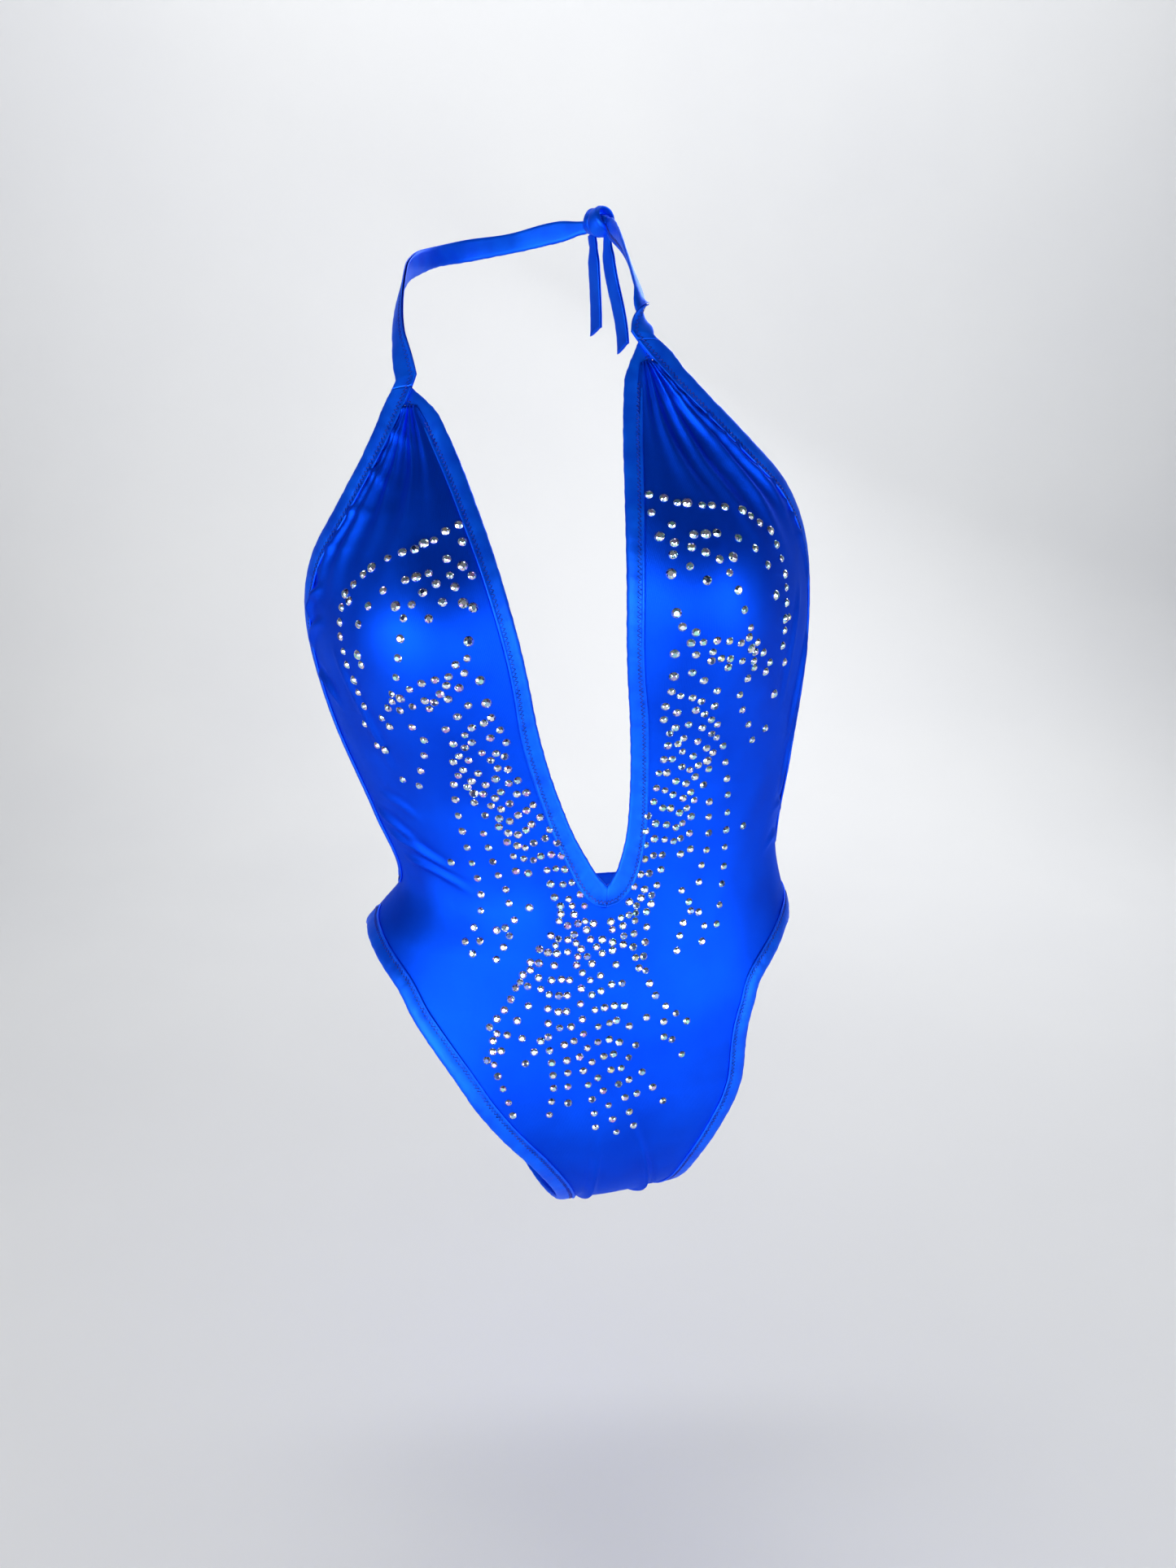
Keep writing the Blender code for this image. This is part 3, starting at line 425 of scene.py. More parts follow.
def sweep(name, rings, look, loop=False, ends=True):
    """A closed tube through rings of points, shape stations x points x 3."""
    rings = np.asarray(rings, float)
    stations, count = rings.shape[:2]
    faces = []
    for row in range(stations if loop else stations - 1):
        ahead = (row + 1) % stations
        for corner in range(count):
            beside = (corner + 1) % count
            faces.append((row * count + corner, row * count + beside,
                          ahead * count + beside, ahead * count + corner))
    if not loop and ends:
        faces.append(tuple(reversed(range(count))))
        faces.append(tuple((stations - 1) * count + corner for corner in range(count)))
    centre = rings.mean(axis=1)
    along = np.concatenate([[0.0], np.cumsum(np.linalg.norm(np.diff(centre, axis=0), axis=1))])
    round_it = np.concatenate([[0.0], np.cumsum(np.linalg.norm(np.diff(rings[0], axis=0), axis=1))])
    uv = np.stack(np.broadcast_arrays(round_it[None, :], along[:, None]), axis=-1)
    made = mesh_piece(name, rings.reshape(-1, 3), faces, look, uv.reshape(-1, 2))
    face_outwards(made)
    return made


def joined_tubes(name, paths, radius, sides, look):
    """Several thin round tubes as one piece. Each path is an array of points."""
    points, faces, uv = [], [], []
    for path in paths:
        along = unit(np.gradient(path, axis=0))
        guide = np.where(np.abs(along[:, 2:3]) > 0.9, [[1.0, 0.0, 0.0]], [[0.0, 0.0, 1.0]])
        across = unit(np.cross(along, guide))
        other = np.cross(along, across)
        turns = np.arange(sides) * 2 * math.pi / sides
        cosines = np.cos(turns)[None, :, None]
        sines = np.sin(turns)[None, :, None]
        ring = across[:, None] * cosines + other[:, None] * sines
        rings = path[:, None] + ring * radius
        start = len(points)
        points.extend(rings.reshape(-1, 3).tolist())
        for row in range(len(path) - 1):
            for corner in range(sides):
                beside = (corner + 1) % sides
                faces.append((start + row * sides + corner, start + row * sides + beside,
                              start + (row + 1) * sides + beside, start + (row + 1) * sides + corner))
        faces.append(tuple(start + corner for corner in reversed(range(sides))))
        faces.append(tuple(start + (len(path) - 1) * sides + corner for corner in range(sides)))
        length = np.concatenate([[0.0], np.cumsum(np.linalg.norm(np.diff(path, axis=0), axis=1))])
        uv.extend([(corner * radius, place) for place in length for corner in range(sides)])
    made = mesh_piece(name, points, faces, look, np.array(uv))
    face_outwards(made)
    return made


# ---------------------------------------------------------------- strips


class Strip:
    """Frames along a folded strip: origin at its inner edge, across to its finished edge, normal, width,
    the factor by which the fold is flattened, and the lift of its middle."""

    FIELDS = ("origin", "across", "normal", "width", "flat", "middle")

    def __init__(self, origin, across, normal, width, flat=1.0, middle=STRIP_MIDDLE):
        count = len(origin)
        self.origin = np.asarray(origin, float)
        self.normal = unit(normal)
        self.across = unit(across - self.normal * (across * self.normal).sum(-1, keepdims=True))
        self.width = np.broadcast_to(np.asarray(width, float), (count,)).copy()
        self.flat = np.broadcast_to(np.asarray(flat, float), (count,)).copy()
        self.middle = np.broadcast_to(np.asarray(middle, float), (count,)).copy()

    def packed(self):
        columns = [np.reshape(getattr(self, field), (len(self.origin), -1)) for field in self.FIELDS]
        return np.concatenate(columns, axis=1)

    @staticmethod
    def unpacked(table):
        return Strip(table[:, 0:3], table[:, 3:6], table[:, 6:9], table[:, 9], table[:, 10], table[:, 11])

    def lengths(self, loop=False):
        points = self.origin if not loop else np.concatenate([self.origin, self.origin[:1]])
        return np.concatenate([[0.0], np.cumsum(np.linalg.norm(np.diff(points, axis=0), axis=1))])

    def even(self, step, loop=False):
        """The same strip with stations an even step apart."""
        length = self.lengths(loop)
        table = self.packed()
        if loop:
            table = np.concatenate([table, table[:1]])
        count = 2 * max(2, round(length[-1] / step / 2))
        places = np.linspace(0, length[-1], count + 1)
        if loop:
            places = places[:-1]
        columns = [np.interp(places, length, column) for column in table.T]
        return Strip.unpacked(np.stack(columns, axis=1))

    def part(self, first, last):
        return Strip.unpacked(self.packed()[first:last])

    def at(self, across, lift):
        """World points at one distance across and one height for every station."""
        lift = self.middle + (np.asarray(lift) - STRIP_MIDDLE) * self.flat
        aside = self.across * np.reshape(across, (-1, 1))
        return self.origin + aside + self.normal * np.reshape(lift, (-1, 1))


def joined(first, second):
    return Strip.unpacked(np.concatenate([first.packed(), second.packed()]))


# The folded section, from the piped inner edge over the outer leaf, round the fold and back underneath:
# share of the width, extra distance across in mm, lift in mm, and how much the stitches pull it.
SECTION = (
    (0.0, -0.5, 2.10, 0.0), (0.0, -0.75, 2.45, 0.0), (0.0, -0.55, 2.95, 0.1), (0.0, -0.05, 3.15, 0.2),
    (0.0, 0.45, 2.95, 0.5), (0.0, 0.85, 2.62, 1.0), (0.0, 1.6, 2.58, 1.3), (0.0, 2.5, 2.72, 1.3),
    (0.0, 3.3, 2.98, 0.8), (0.5, 0.3, 3.30, 0.4), (1.0, -2.6, 3.26, 0.3), (1.0, -1.3, 2.98, 0.2),
    (1.0, -0.45, 2.48, 0.1), (1.0, -0.02, 1.75, 0.0), (1.0, -0.35, 0.95, 0.0), (1.0, -1.1, 0.38, 0.0),
    (1.0, -2.4, 0.12, 0.0), (0.5, 0.0, 0.05, 0.0), (0.0, 1.0, 0.10, 0.0), (0.0, -0.4, 0.22, 0.0),
    (0.0, -0.7, 0.52, 0.0), (0.0, -0.4, 0.82, 0.0), (0.0, 1.2, 0.90, 0.0), (0.5, 0.0, 0.92, 0.0),
    (1.0, -2.0, 1.05, 0.0), (1.0, -1.5, 1.60, 0.0), (1.0, -2.0, 2.10, 0.0), (0.5, 0.0, 2.32, 0.0),
    (0.0, 1.4, 2.26, 0.0), (0.0, 0.2, 2.22, 0.0),
)
STATION = 1.15 * MM  # half of a stitch
STITCH_FROM, STITCH_TO = 0.95, 3.0  # the zigzag runs between these distances from the inner edge, in mm


def strip_rings(strip, seed):
    """Rings of the folded section, with the small puckers that the stitching makes."""
    length = strip.lengths()
    count = len(strip.origin)
    beat = np.where(np.arange(count) % 2 == 0, 1.0, -1.0)
    slow = np.sin(length * 610 + seed) + 0.7 * np.sin(length * 947 + 2.1 * seed)
    slow = slow + 0.5 * np.sin(length * 1730 + seed)
    columns = []
    for share, extra, lift, pull in SECTION:
        across = share * strip.width + extra * MM
        wave = 0.055 * beat * (1.0 if 0.45 <= pull else 0.0) * pull + 0.085 * slow * min(pull, 0.8)
        edge = 0.07 * MM * slow if share == 1.0 and extra > -1.5 else 0.0
        columns.append(strip.at(across + edge, (lift + wave) * MM))
    return np.stack(columns, axis=1)


def stitch_path(strip):
    """The zigzag of thread that holds the strip, one point at each turn and one where it dips."""
    count = len(strip.origin)
    left = np.arange(count) % 2 == 0
    across = np.where(left, STITCH_FROM, STITCH_TO) * MM
    lift = np.where(left, 2.66, 2.80) * MM
    turns = strip.at(across, lift)
    middle = (turns[1:] + turns[:-1]) / 2 + (strip.normal[1:] + strip.normal[:-1]) / 2 * 0.14 * MM
    path = np.empty((2 * count - 1, 3))
    path[0::2] = turns - strip.normal * 0.05 * MM
    path[1::2] = middle
    return path


def edged_strip(seam, edge, side, shares, width):
    """A strip from a seam outline towards its finished edge."""
    seam_angle, seam_height = on_body(outline(seam, shares), side)
    edge_angle, edge_height = on_body(outline(edge, shares), side)
    start = skin(seam_angle, seam_height)
    end = skin(edge_angle, edge_height)
    normal = outward(seam_angle, seam_height) + outward(edge_angle, edge_height)
    drawn = np.linalg.norm(end - start, axis=-1)
    wide = drawn + (np.maximum(width, drawn) - drawn) * smooth_step(shares, 0.80, 0.93)
    return Strip(start, end - start, normal, wide)


def leg_strip(side):
    """The strip round a whole leg opening: up the front from the crotch seam, then down the back."""
    front = outline(LEG_SEAM_FRONT, np.linspace(0, 1, 221))
    back = outline(LEG_SEAM_BACK, np.linspace(0, 1, 161))[-2:0:-1]
    origin = np.concatenate([lifted(front, side, 0.0), lifted(back, side, 0.0, True)])
    normal = np.concatenate([outward(*on_body(front, side)), outward(*on_body(back, side, True), True)])
    along = unit(np.roll(origin, -1, axis=0) - np.roll(origin, 1, axis=0))
    return Strip(origin, np.cross(along, normal) * side, normal, LEG_WIDTH)


def waist_line(angle):
    side_height = SIDE_SEAM[0][1]
    return BACK_WAIST_DIP + (side_height - BACK_WAIST_DIP) * np.sin(np.radians(angle)) ** 2


def waist_strip():
    """The strip along the back waist, from the wearer's right to the wearer's left."""
    angle = np.linspace(0, 90, 121)
    half = np.stack([angle, waist_line(angle)], axis=-1)
    origin = np.concatenate([lifted(half[::-1], -1, 0.0, True), lifted(half[1:], 1, 0.0, True)])
    normal = np.concatenate([outward(*on_body(half[::-1], -1, True), True),
                             outward(*on_body(half[1:], 1, True), True)])
    across = np.cross(np.gradient(origin, axis=0), normal)
    return Strip(origin, across * np.sign(across[:, 2:3]), normal, WAIST_WIDTH)


# ---------------------------------------------------------------- halter frames


def strap_base(side):
    return lifted(np.array(STRAP_BASE), side, 2.25 * MM)


def from_neck(points):
    flat = np.asarray(points, float) - np.array([*NECK_AXIS, 0.0])
    flat[..., 2] = 0.0
    return unit(flat)


def knot_centre():
    turn = math.radians(KNOT_ANGLE)
    return np.array([NECK_AXIS[0] + KNOT_REACH * math.cos(turn), NECK_AXIS[1] + KNOT_REACH * math.sin(turn),
                     KNOT_Z])


def knot_frame():
    """The knot's directions: round the neck, out from it, and up."""
    out = from_neck(knot_centre())
    return np.array([-out[1], out[0], 0.0]), out, np.array([0.0, 0.0, 1.0])


def tail_top(side):
    around, out, up = knot_frame()
    drop = KNOT_SIZE[2] / 2 + 0.0018
    return knot_centre() - around * side * TAIL_SPACING / 2 + out * 0.001 - up * drop


def evenly(points, step):
    """Points of a smooth curve through the given ones, about one step apart."""
    points = np.asarray(points, float)
    fine = through(np.arange(len(points)), points, np.linspace(0, len(points) - 1, 60 * len(points)))
    length = np.concatenate([[0.0], np.cumsum(np.linalg.norm(np.diff(fine, axis=0), axis=1))])
    places = np.linspace(0, length[-1], max(3, round(length[-1] / step) + 1))
    return np.stack([np.interp(places, length, fine[:, axis]) for axis in range(3)], axis=-1), places


STRAP_FLAT = 0.62  # how much the fold is flattened where nothing lies inside it


def strap_strip(side):
    """Frames of the halter strap from its base to inside the knot, with the inner edge as the origin."""
    bases = [strap_base(which) for which in (-1, 1)]
    hinge = unit(bases[1] - bases[0])
    around = knot_frame()[0]
    end = knot_centre() - side * around * (KNOT_SIZE[0] / 2 - 0.004)
    route = STRAP_ROUTE_LEFT if side > 0 else STRAP_ROUTE_RIGHT
    path, places = evenly([strap_base(side), *route, end], STATION)
    level = np.clip(places / 0.03, 0.0, 1.0)[:, None]
    front = unit(np.cross(hinge, path[4] - path[0]))
    front = front * -np.sign(front[1])
    facing = unit(front * (1 - level) + from_neck(path) * level)
    along = unit(np.gradient(path, axis=0))
    across = unit(np.cross(along, facing)) * side
    facing = np.cross(across, along) * side
    waisted = 0.0
    if side > 0:
        share = smooth_step(places, TWIST_FROM, TWIST_FROM + TWIST_OVER)
        turn = (math.pi * share)[:, None]
        waisted = 0.34 * np.sin(math.pi * share)
        facing, across = (facing * np.cos(turn) + across * np.sin(turn),
                          across * np.cos(turn) - facing * np.sin(turn))
    narrow = smooth_step(places, places[-1] - 0.020, places[-1] - 0.002)
    width = STRAP_WIDTH * (1 - 0.38 * narrow) * (1 - waisted)
    width = width * (1 + 0.05 * np.sin(places * 130 + side))
    origin = path - across * width[:, None] / 2
    return Strip(origin, across, facing, width, STRAP_FLAT, 0.0), places


def side_and_strap(side):
    """One strip up the open side and on round the neck, and the station at the strap's base."""
    shares = np.linspace(0, 1, 331)
    body = edged_strip(SIDE_SEAM, SIDE_EDGE, side, shares, SIDE_WIDTH)
    top = smooth_step(shares, 0.84, 0.97)
    body.flat = 1 - 0.5 * top
    body.middle = STRIP_MIDDLE + 1.5 * MM * top
    body = body.even(STATION)
    strap, _ = strap_strip(side)
    if (body.across[-1] * strap.across[0]).sum() < 0:
        strap = Strip(strap.origin + strap.across * strap.width[:, None], -strap.across, strap.normal,
                      strap.width, strap.flat, strap.middle)
    keep = len(body.origin) - 14
    skip = 7
    merged = joined(body.part(0, keep), strap.part(skip, None))
    length = merged.lengths()
    knots = np.concatenate([np.arange(max(0, keep - 40), keep, 6), [keep - 1],
                            np.arange(keep, min(keep + 30, len(merged.origin)), 6)])
    knots = np.unique(knots)
    span = length[keep] - length[keep - 1]
    fill = np.linspace(0, 1, round(span / STATION) + 1)[1:-1]
    places = length[keep - 1] + fill * span
    bridge = Strip.unpacked(through(length[knots], merged.packed()[knots], places))
    whole = joined(joined(merged.part(0, keep), bridge), merged.part(keep, None))
    base = strap_base(side)
    middle = whole.origin + whole.across * whole.width[:, None] / 2
    junction = int(np.argmin(np.linalg.norm(middle - base, axis=1)))
    return whole, junction


def neck_strip(side, over, junction):
    """The neckline's strip, which dives under the strap at its base."""
    shares = np.linspace(0, 1, 331)
    body = edged_strip(NECK_SEAM, NECK_EDGE, side, shares, NECK_WIDTH)
    top = smooth_step(shares, 0.84, 0.97)
    body.flat = 1 - 0.5 * top
    body.middle = STRIP_MIDDLE - 0.35 * MM * top
    body = body.even(STATION)
    keep = len(body.origin) - 12
    end = over.part(junction + 1, junction + 3)
    width = end.width * 0.8
    origin = end.origin + end.across * (end.width * 0.9)[:, None]
    last = Strip(origin, -end.across, end.normal, width, 0.42, end.middle - 1.75 * MM)
    merged = joined(body.part(0, keep), last)
    length = merged.lengths()
    knots = np.unique(np.concatenate([np.arange(keep - 40, keep, 6), [keep - 1, keep, keep + 1]]))
    span = length[keep] - length[keep - 1]
    fill = np.linspace(0, 1, max(3, round(span / STATION) + 1))[1:-1]
    bridge = Strip.unpacked(through(length[knots], merged.packed()[knots], length[keep - 1] + fill * span))
    return joined(joined(merged.part(0, keep), bridge), merged.part(keep, None))


# ---------------------------------------------------------------- looks


def new_look(name):
    look = bpy.data.materials.new(name)
    look.use_nodes = True
    return look, look.node_tree.nodes, look.node_tree.links, look.node_tree.nodes["Principled BSDF"]


def cloth_place(nodes, links, source="Object", scale=(1, 1, 1)):
    place = nodes.new("ShaderNodeTexCoord")
    mapping = nodes.new("ShaderNodeMapping")
    mapping.inputs["Scale"].default_value = scale
    links.new(place.outputs[source], mapping.inputs["Vector"])
    return mapping.outputs["Vector"]


def varied_colour(nodes, links, dark, light, size, detail=3.0):
    """Two close colours mixed by a soft noise whose patches are about the given size in metres."""
    noise = nodes.new("ShaderNodeTexNoise")
    noise.inputs["Scale"].default_value = 1 / size
    noise.inputs["Detail"].default_value = detail
    links.new(cloth_place(nodes, links), noise.inputs["Vector"])
    ramp = nodes.new("ShaderNodeValToRGB")
    ramp.color_ramp.elements[0].position = 0.30
    ramp.color_ramp.elements[1].position = 0.70
    ramp.color_ramp.elements[0].color = (*dark, 1)
    ramp.color_ramp.elements[1].color = (*light, 1)
    links.new(noise.outputs["Fac"], ramp.inputs["Fac"])
    return ramp.outputs["Color"], noise.outputs["Fac"]


def roughness_range(nodes, links, source, shader, low, high):
    spread = nodes.new("ShaderNodeMapRange")
    spread.inputs["From Min"].default_value = 0.3
    spread.inputs["From Max"].default_value = 0.7
    spread.inputs["To Min"].default_value = low
    spread.inputs["To Max"].default_value = high
    links.new(source, spread.inputs["Value"])
    links.new(spread.outputs["Result"], shader.inputs["Roughness"])


def knit_bump(nodes, links, shader, pitch, depth, strength):
    """Rows of fine knit loops across and along the cloth, with a little unevenness."""
    vector = cloth_place(nodes, links, "UV")
    height = None
    for direction, share in (("X", 1.0), ("Y", 0.8)):
        wave = nodes.new("ShaderNodeTexWave")
        wave.wave_type = "BANDS"
        wave.bands_direction = direction
        wave.inputs["Scale"].default_value = 0.314 / (pitch * share)
        wave.inputs["Distortion"].default_value = 0.6
        wave.inputs["Detail"].default_value = 1.0
        links.new(vector, wave.inputs["Vector"])
        if height is None:
            height = wave.outputs["Fac"]
        else:
            joint = nodes.new("ShaderNodeMath")
            joint.operation = "MULTIPLY"
            links.new(height, joint.inputs[0])
            links.new(wave.outputs["Fac"], joint.inputs[1])
            height = joint.outputs["Value"]
    grain = nodes.new("ShaderNodeTexNoise")
    grain.inputs["Scale"].default_value = 900
    links.new(cloth_place(nodes, links), grain.inputs["Vector"])
    total = nodes.new("ShaderNodeMath")
    total.operation = "ADD"
    links.new(height, total.inputs[0])
    links.new(grain.outputs["Fac"], total.inputs[1])
    bump = nodes.new("ShaderNodeBump")
    bump.inputs["Strength"].default_value = strength
    bump.inputs["Distance"].default_value = depth
    links.new(total.outputs["Value"], bump.inputs["Height"])
    links.new(bump.outputs["Normal"], shader.inputs["Normal"])


def satin_look():
    look, nodes, links, shader = new_look("royal_satin_cloth")
    colour, noise = varied_colour(nodes, links, (0.0006, 0.053, 0.72), (0.0010, 0.073, 0.85), 0.035)
    links.new(colour, shader.inputs["Base Color"])
    shader.inputs["Metallic"].default_value = 0.86
    shader.inputs["Specular IOR Level"].default_value = 0.35
    shader.inputs["Specular Tint"].default_value = (0.25, 0.5, 1.0, 1)
    roughness_range(nodes, links, noise, shader, 0.41, 0.47)
    shader.inputs["Anisotropic"].default_value = 0.2
    knit_bump(nodes, links, shader, 0.00048, 0.00010, 0.5)
    return look


def binding_look():
    look, nodes, links, shader = new_look("royal_binding_cloth")
    colour, noise = varied_colour(nodes, links, (0.0010, 0.078, 0.86), (0.0015, 0.120, 0.97), 0.012)
    links.new(colour, shader.inputs["Base Color"])
    shader.inputs["Metallic"].default_value = 0.58
    shader.inputs["Specular IOR Level"].default_value = 0.4
    shader.inputs["Specular Tint"].default_value = (0.3, 0.55, 1.0, 1)
    roughness_range(nodes, links, noise, shader, 0.34, 0.46)
    knit_bump(nodes, links, shader, 0.00050, 0.00008, 0.4)
    return look


def lining_look():
    look, nodes, links, shader = new_look("matte_lining")
    colour, noise = varied_colour(nodes, links, (0.010, 0.045, 0.26), (0.016, 0.065, 0.33), 0.01)
    links.new(colour, shader.inputs["Base Color"])
    roughness_range(nodes, links, noise, shader, 0.72, 0.85)
    knit_bump(nodes, links, shader, 0.0007, 0.00012, 0.6)
    return look


def elastic_look():
    look, nodes, links, shader = new_look("knitted_elastic")
    colour, noise = varied_colour(nodes, links, (0.72, 0.72, 0.69), (0.84, 0.84, 0.81), 0.004)
    links.new(colour, shader.inputs["Base Color"])
    roughness_range(nodes, links, noise, shader, 0.68, 0.8)
    knit_bump(nodes, links, shader, 0.0011, 0.00025, 0.8)
    return look


def thread_look():
    look, nodes, links, shader = new_look("polyester_thread")
    colour, noise = varied_colour(nodes, links, (0.0005, 0.012, 0.22), (0.0008, 0.026, 0.36), 0.0025)
    links.new(colour, shader.inputs["Base Color"])
    roughness_range(nodes, links, noise, shader, 0.32, 0.42)
    ply = nodes.new("ShaderNodeTexWave")
    ply.inputs["Scale"].default_value = 900
    links.new(cloth_place(nodes, links), ply.inputs["Vector"])
    bump = nodes.new("ShaderNodeBump")
    bump.inputs["Strength"].default_value = 0.4
    bump.inputs["Distance"].default_value = 0.00004
    links.new(ply.outputs["Fac"], bump.inputs["Height"])
    links.new(bump.outputs["Normal"], shader.inputs["Normal"])
    return look


def crystal_look():
    """Foiled glass: every facet has its own brightness and colour, kept in the mesh as a colour: the foil's
    white, painted coloured glints, painted dark reflections and painted facet shading.
    """
    look, nodes, links, shader = new_look("foiled_crystal")
    facet = nodes.new("ShaderNodeAttribute")
    facet.attribute_name = "facet"
    noise = nodes.new("ShaderNodeTexNoise")
    noise.inputs["Scale"].default_value = 420
    links.new(cloth_place(nodes, links), noise.inputs["Vector"])
    # The painted facet glints and reflections are multiplied by a fine noise that dims them towards pale
    # blue in small patches.
    tinted = nodes.new("ShaderNodeMix")
    tinted.data_type = "RGBA"
    tinted.blend_type = "MULTIPLY"
    ramp = nodes.new("ShaderNodeValToRGB")
    ramp.color_ramp.elements[0].position = 0.38
    ramp.color_ramp.elements[1].position = 0.60
    ramp.color_ramp.elements[0].color = (0.62, 0.70, 0.84, 1)
    ramp.color_ramp.elements[1].color = (1, 1, 1, 1)
    links.new(noise.outputs["Fac"], ramp.inputs["Fac"])
    tinted.inputs["Factor"].default_value = 0.5
    links.new(facet.outputs["Color"], tinted.inputs[6])
    links.new(ramp.outputs["Color"], tinted.inputs[7])
    links.new(tinted.outputs[2], shader.inputs["Base Color"])
    shader.inputs["Metallic"].default_value = 0.86
    shader.inputs["Roughness"].default_value = 0.10
    shader.inputs["Coat Weight"].default_value = 0.6
    shader.inputs["Coat Roughness"].default_value = 0.03
    return look


SATIN = satin_look()
BOUND = binding_look()
LINING = lining_look()
ELASTIC = elastic_look()
THREAD = thread_look()
CRYSTAL = crystal_look()


def finish_piece(made, body="garment", nodes=()):
    if nodes:
        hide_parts(*nodes)
    if body:
        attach(made, body)
    return made


def declare_cloth(made, low):
    """Print a cloth's flat size and area, worked out from its lower grid of points with its own area as the
    flat one.
    """
    a = low[1:, :-1] - low[:-1, :-1]
    b = low[:-1, 1:] - low[:-1, :-1]
    c = low[1:, 1:] - low[1:, :-1]
    d = low[1:, 1:] - low[:-1, 1:]
    first = np.linalg.norm(np.cross(a, b), axis=-1).sum()
    second = np.linalg.norm(np.cross(c, d), axis=-1).sum()
    area = (first + second) / 2
    length = np.linalg.norm(np.diff(low[:, low.shape[1] // 2], axis=0), axis=-1).sum()
    width = np.linalg.norm(np.diff(low, axis=1), axis=-1).sum(axis=1).max()
    flat_area = area * CUT_SHARE
    width, length = max(width, flat_area / length * 1.05), length
    size = f"{width * 1000:.0f} x {length * 1000:.0f} mm"
    print(f"cloth {made.name}: flat {size}, area {flat_area * 1e4:.0f} cm2")


CUT_SHARE = 0.88  # the flat cut's area as a share of its area when worn and stretched

# ---------------------------------------------------------------- panels

HALF_COLUMNS = 64


def surface(points, side, low, high, rise=0.0, back=False):
    """World points of the underside and the top of a cloth laid on the form."""
    return (lifted(points, side, np.broadcast_to(low + rise, points.shape[:-1]), back),
            lifted(points, side, np.broadcast_to(high + rise, points.shape[:-1]), back))


def between(inner, outer, columns, crowding=1.0, reach_in=0.0, reach_out=0.0):
    """Rows of places from one outline to another, with both ends pushed on by a distance in metres."""
    shares = np.linspace(0, 1, columns)
    shares = 1 - (1 - shares) ** crowding
    span = outer - inner
    start = skin(*np.moveaxis(inner, -1, 0))
    end = skin(*np.moveaxis(inner + span * 0.02, -1, 0))
    size = np.maximum(np.linalg.norm(end - start, axis=-1), 1e-5) / 0.02
    left = np.minimum(reach_in / size, 0.2)[:, None]
    start = skin(*np.moveaxis(outer, -1, 0))
    end = skin(*np.moveaxis(outer - span * 0.02, -1, 0))
    size = np.maximum(np.linalg.norm(end - start, axis=-1), 1e-5) / 0.02
    right = np.minimum(reach_out / size, 0.2)[:, None]
    place = -left + (1 + left + right) * shares[None, :]
    return inner[:, None] + span[:, None] * place[..., None]


def front_half():
    """Places of one half of the front: the lower rows, the side rows and the upper rows."""
    low = np.linspace(0, 1, 150)
    centre = outline(CENTRE_FRONT, low)
    lower = between(centre, outline(LEG_SEAM_FRONT, low), HALF_COLUMNS, 1.3, 0.0, TONGUE)
    up = np.linspace(0, 1, 16)[1:-1, None]
    inner = np.array([[0.0, -0.030]]) * (1 - up) + np.array([[0.0, -0.004]]) * up
    outer = np.array([[90.0, -0.0265]]) * (1 - up) + np.array([[90.0, -0.0045]]) * up
    waist = between(inner, outer, HALF_COLUMNS, 1.3)
    high = np.linspace(0, 1, 210)
    upper = between(outline(NECK_SEAM, high), outline(SIDE_SEAM, high), HALF_COLUMNS, 1.3, TONGUE, TONGUE)
    ease = smooth_step(np.arange(len(lower)), len(lower) - 14, len(lower) - 1)[:, None, None]
    plain = between(outline(CENTRE_FRONT, low), outline(LEG_SEAM_FRONT, low), HALF_COLUMNS, 1.3)
    lower = lower * (1 - ease) + plain * ease
    ease = (1 - smooth_step(np.arange(len(upper)), 0, 14))[:, None, None]
    plain = between(outline(NECK_SEAM, high), outline(SIDE_SEAM, high), HALF_COLUMNS, 1.3)
    upper = upper * (1 - ease) + plain * ease
    return lower, waist, upper


def edge_fade(rows, kind):
    """Folds die away towards the bindings, and the panel's tongue lies flat inside them."""
    columns = np.linspace(0, 1, HALF_COLUMNS)[None, :]
    outer = 1 - smooth_step(columns, 0.93, 0.985)
    inner = smooth_step(columns, 0.02, 0.09) if kind == "upper" else np.ones_like(columns)
    return np.broadcast_to(outer * inner, (rows, HALF_COLUMNS))


def metres_uv(points, angle_scale=0.0021):
    return np.stack([points[..., 0] * angle_scale, points[..., 1]], axis=-1)


def panel_rise(points, side, fade):
    angle, height = points[..., 0], points[..., 1]
    return folds(angle, height, side) * fade


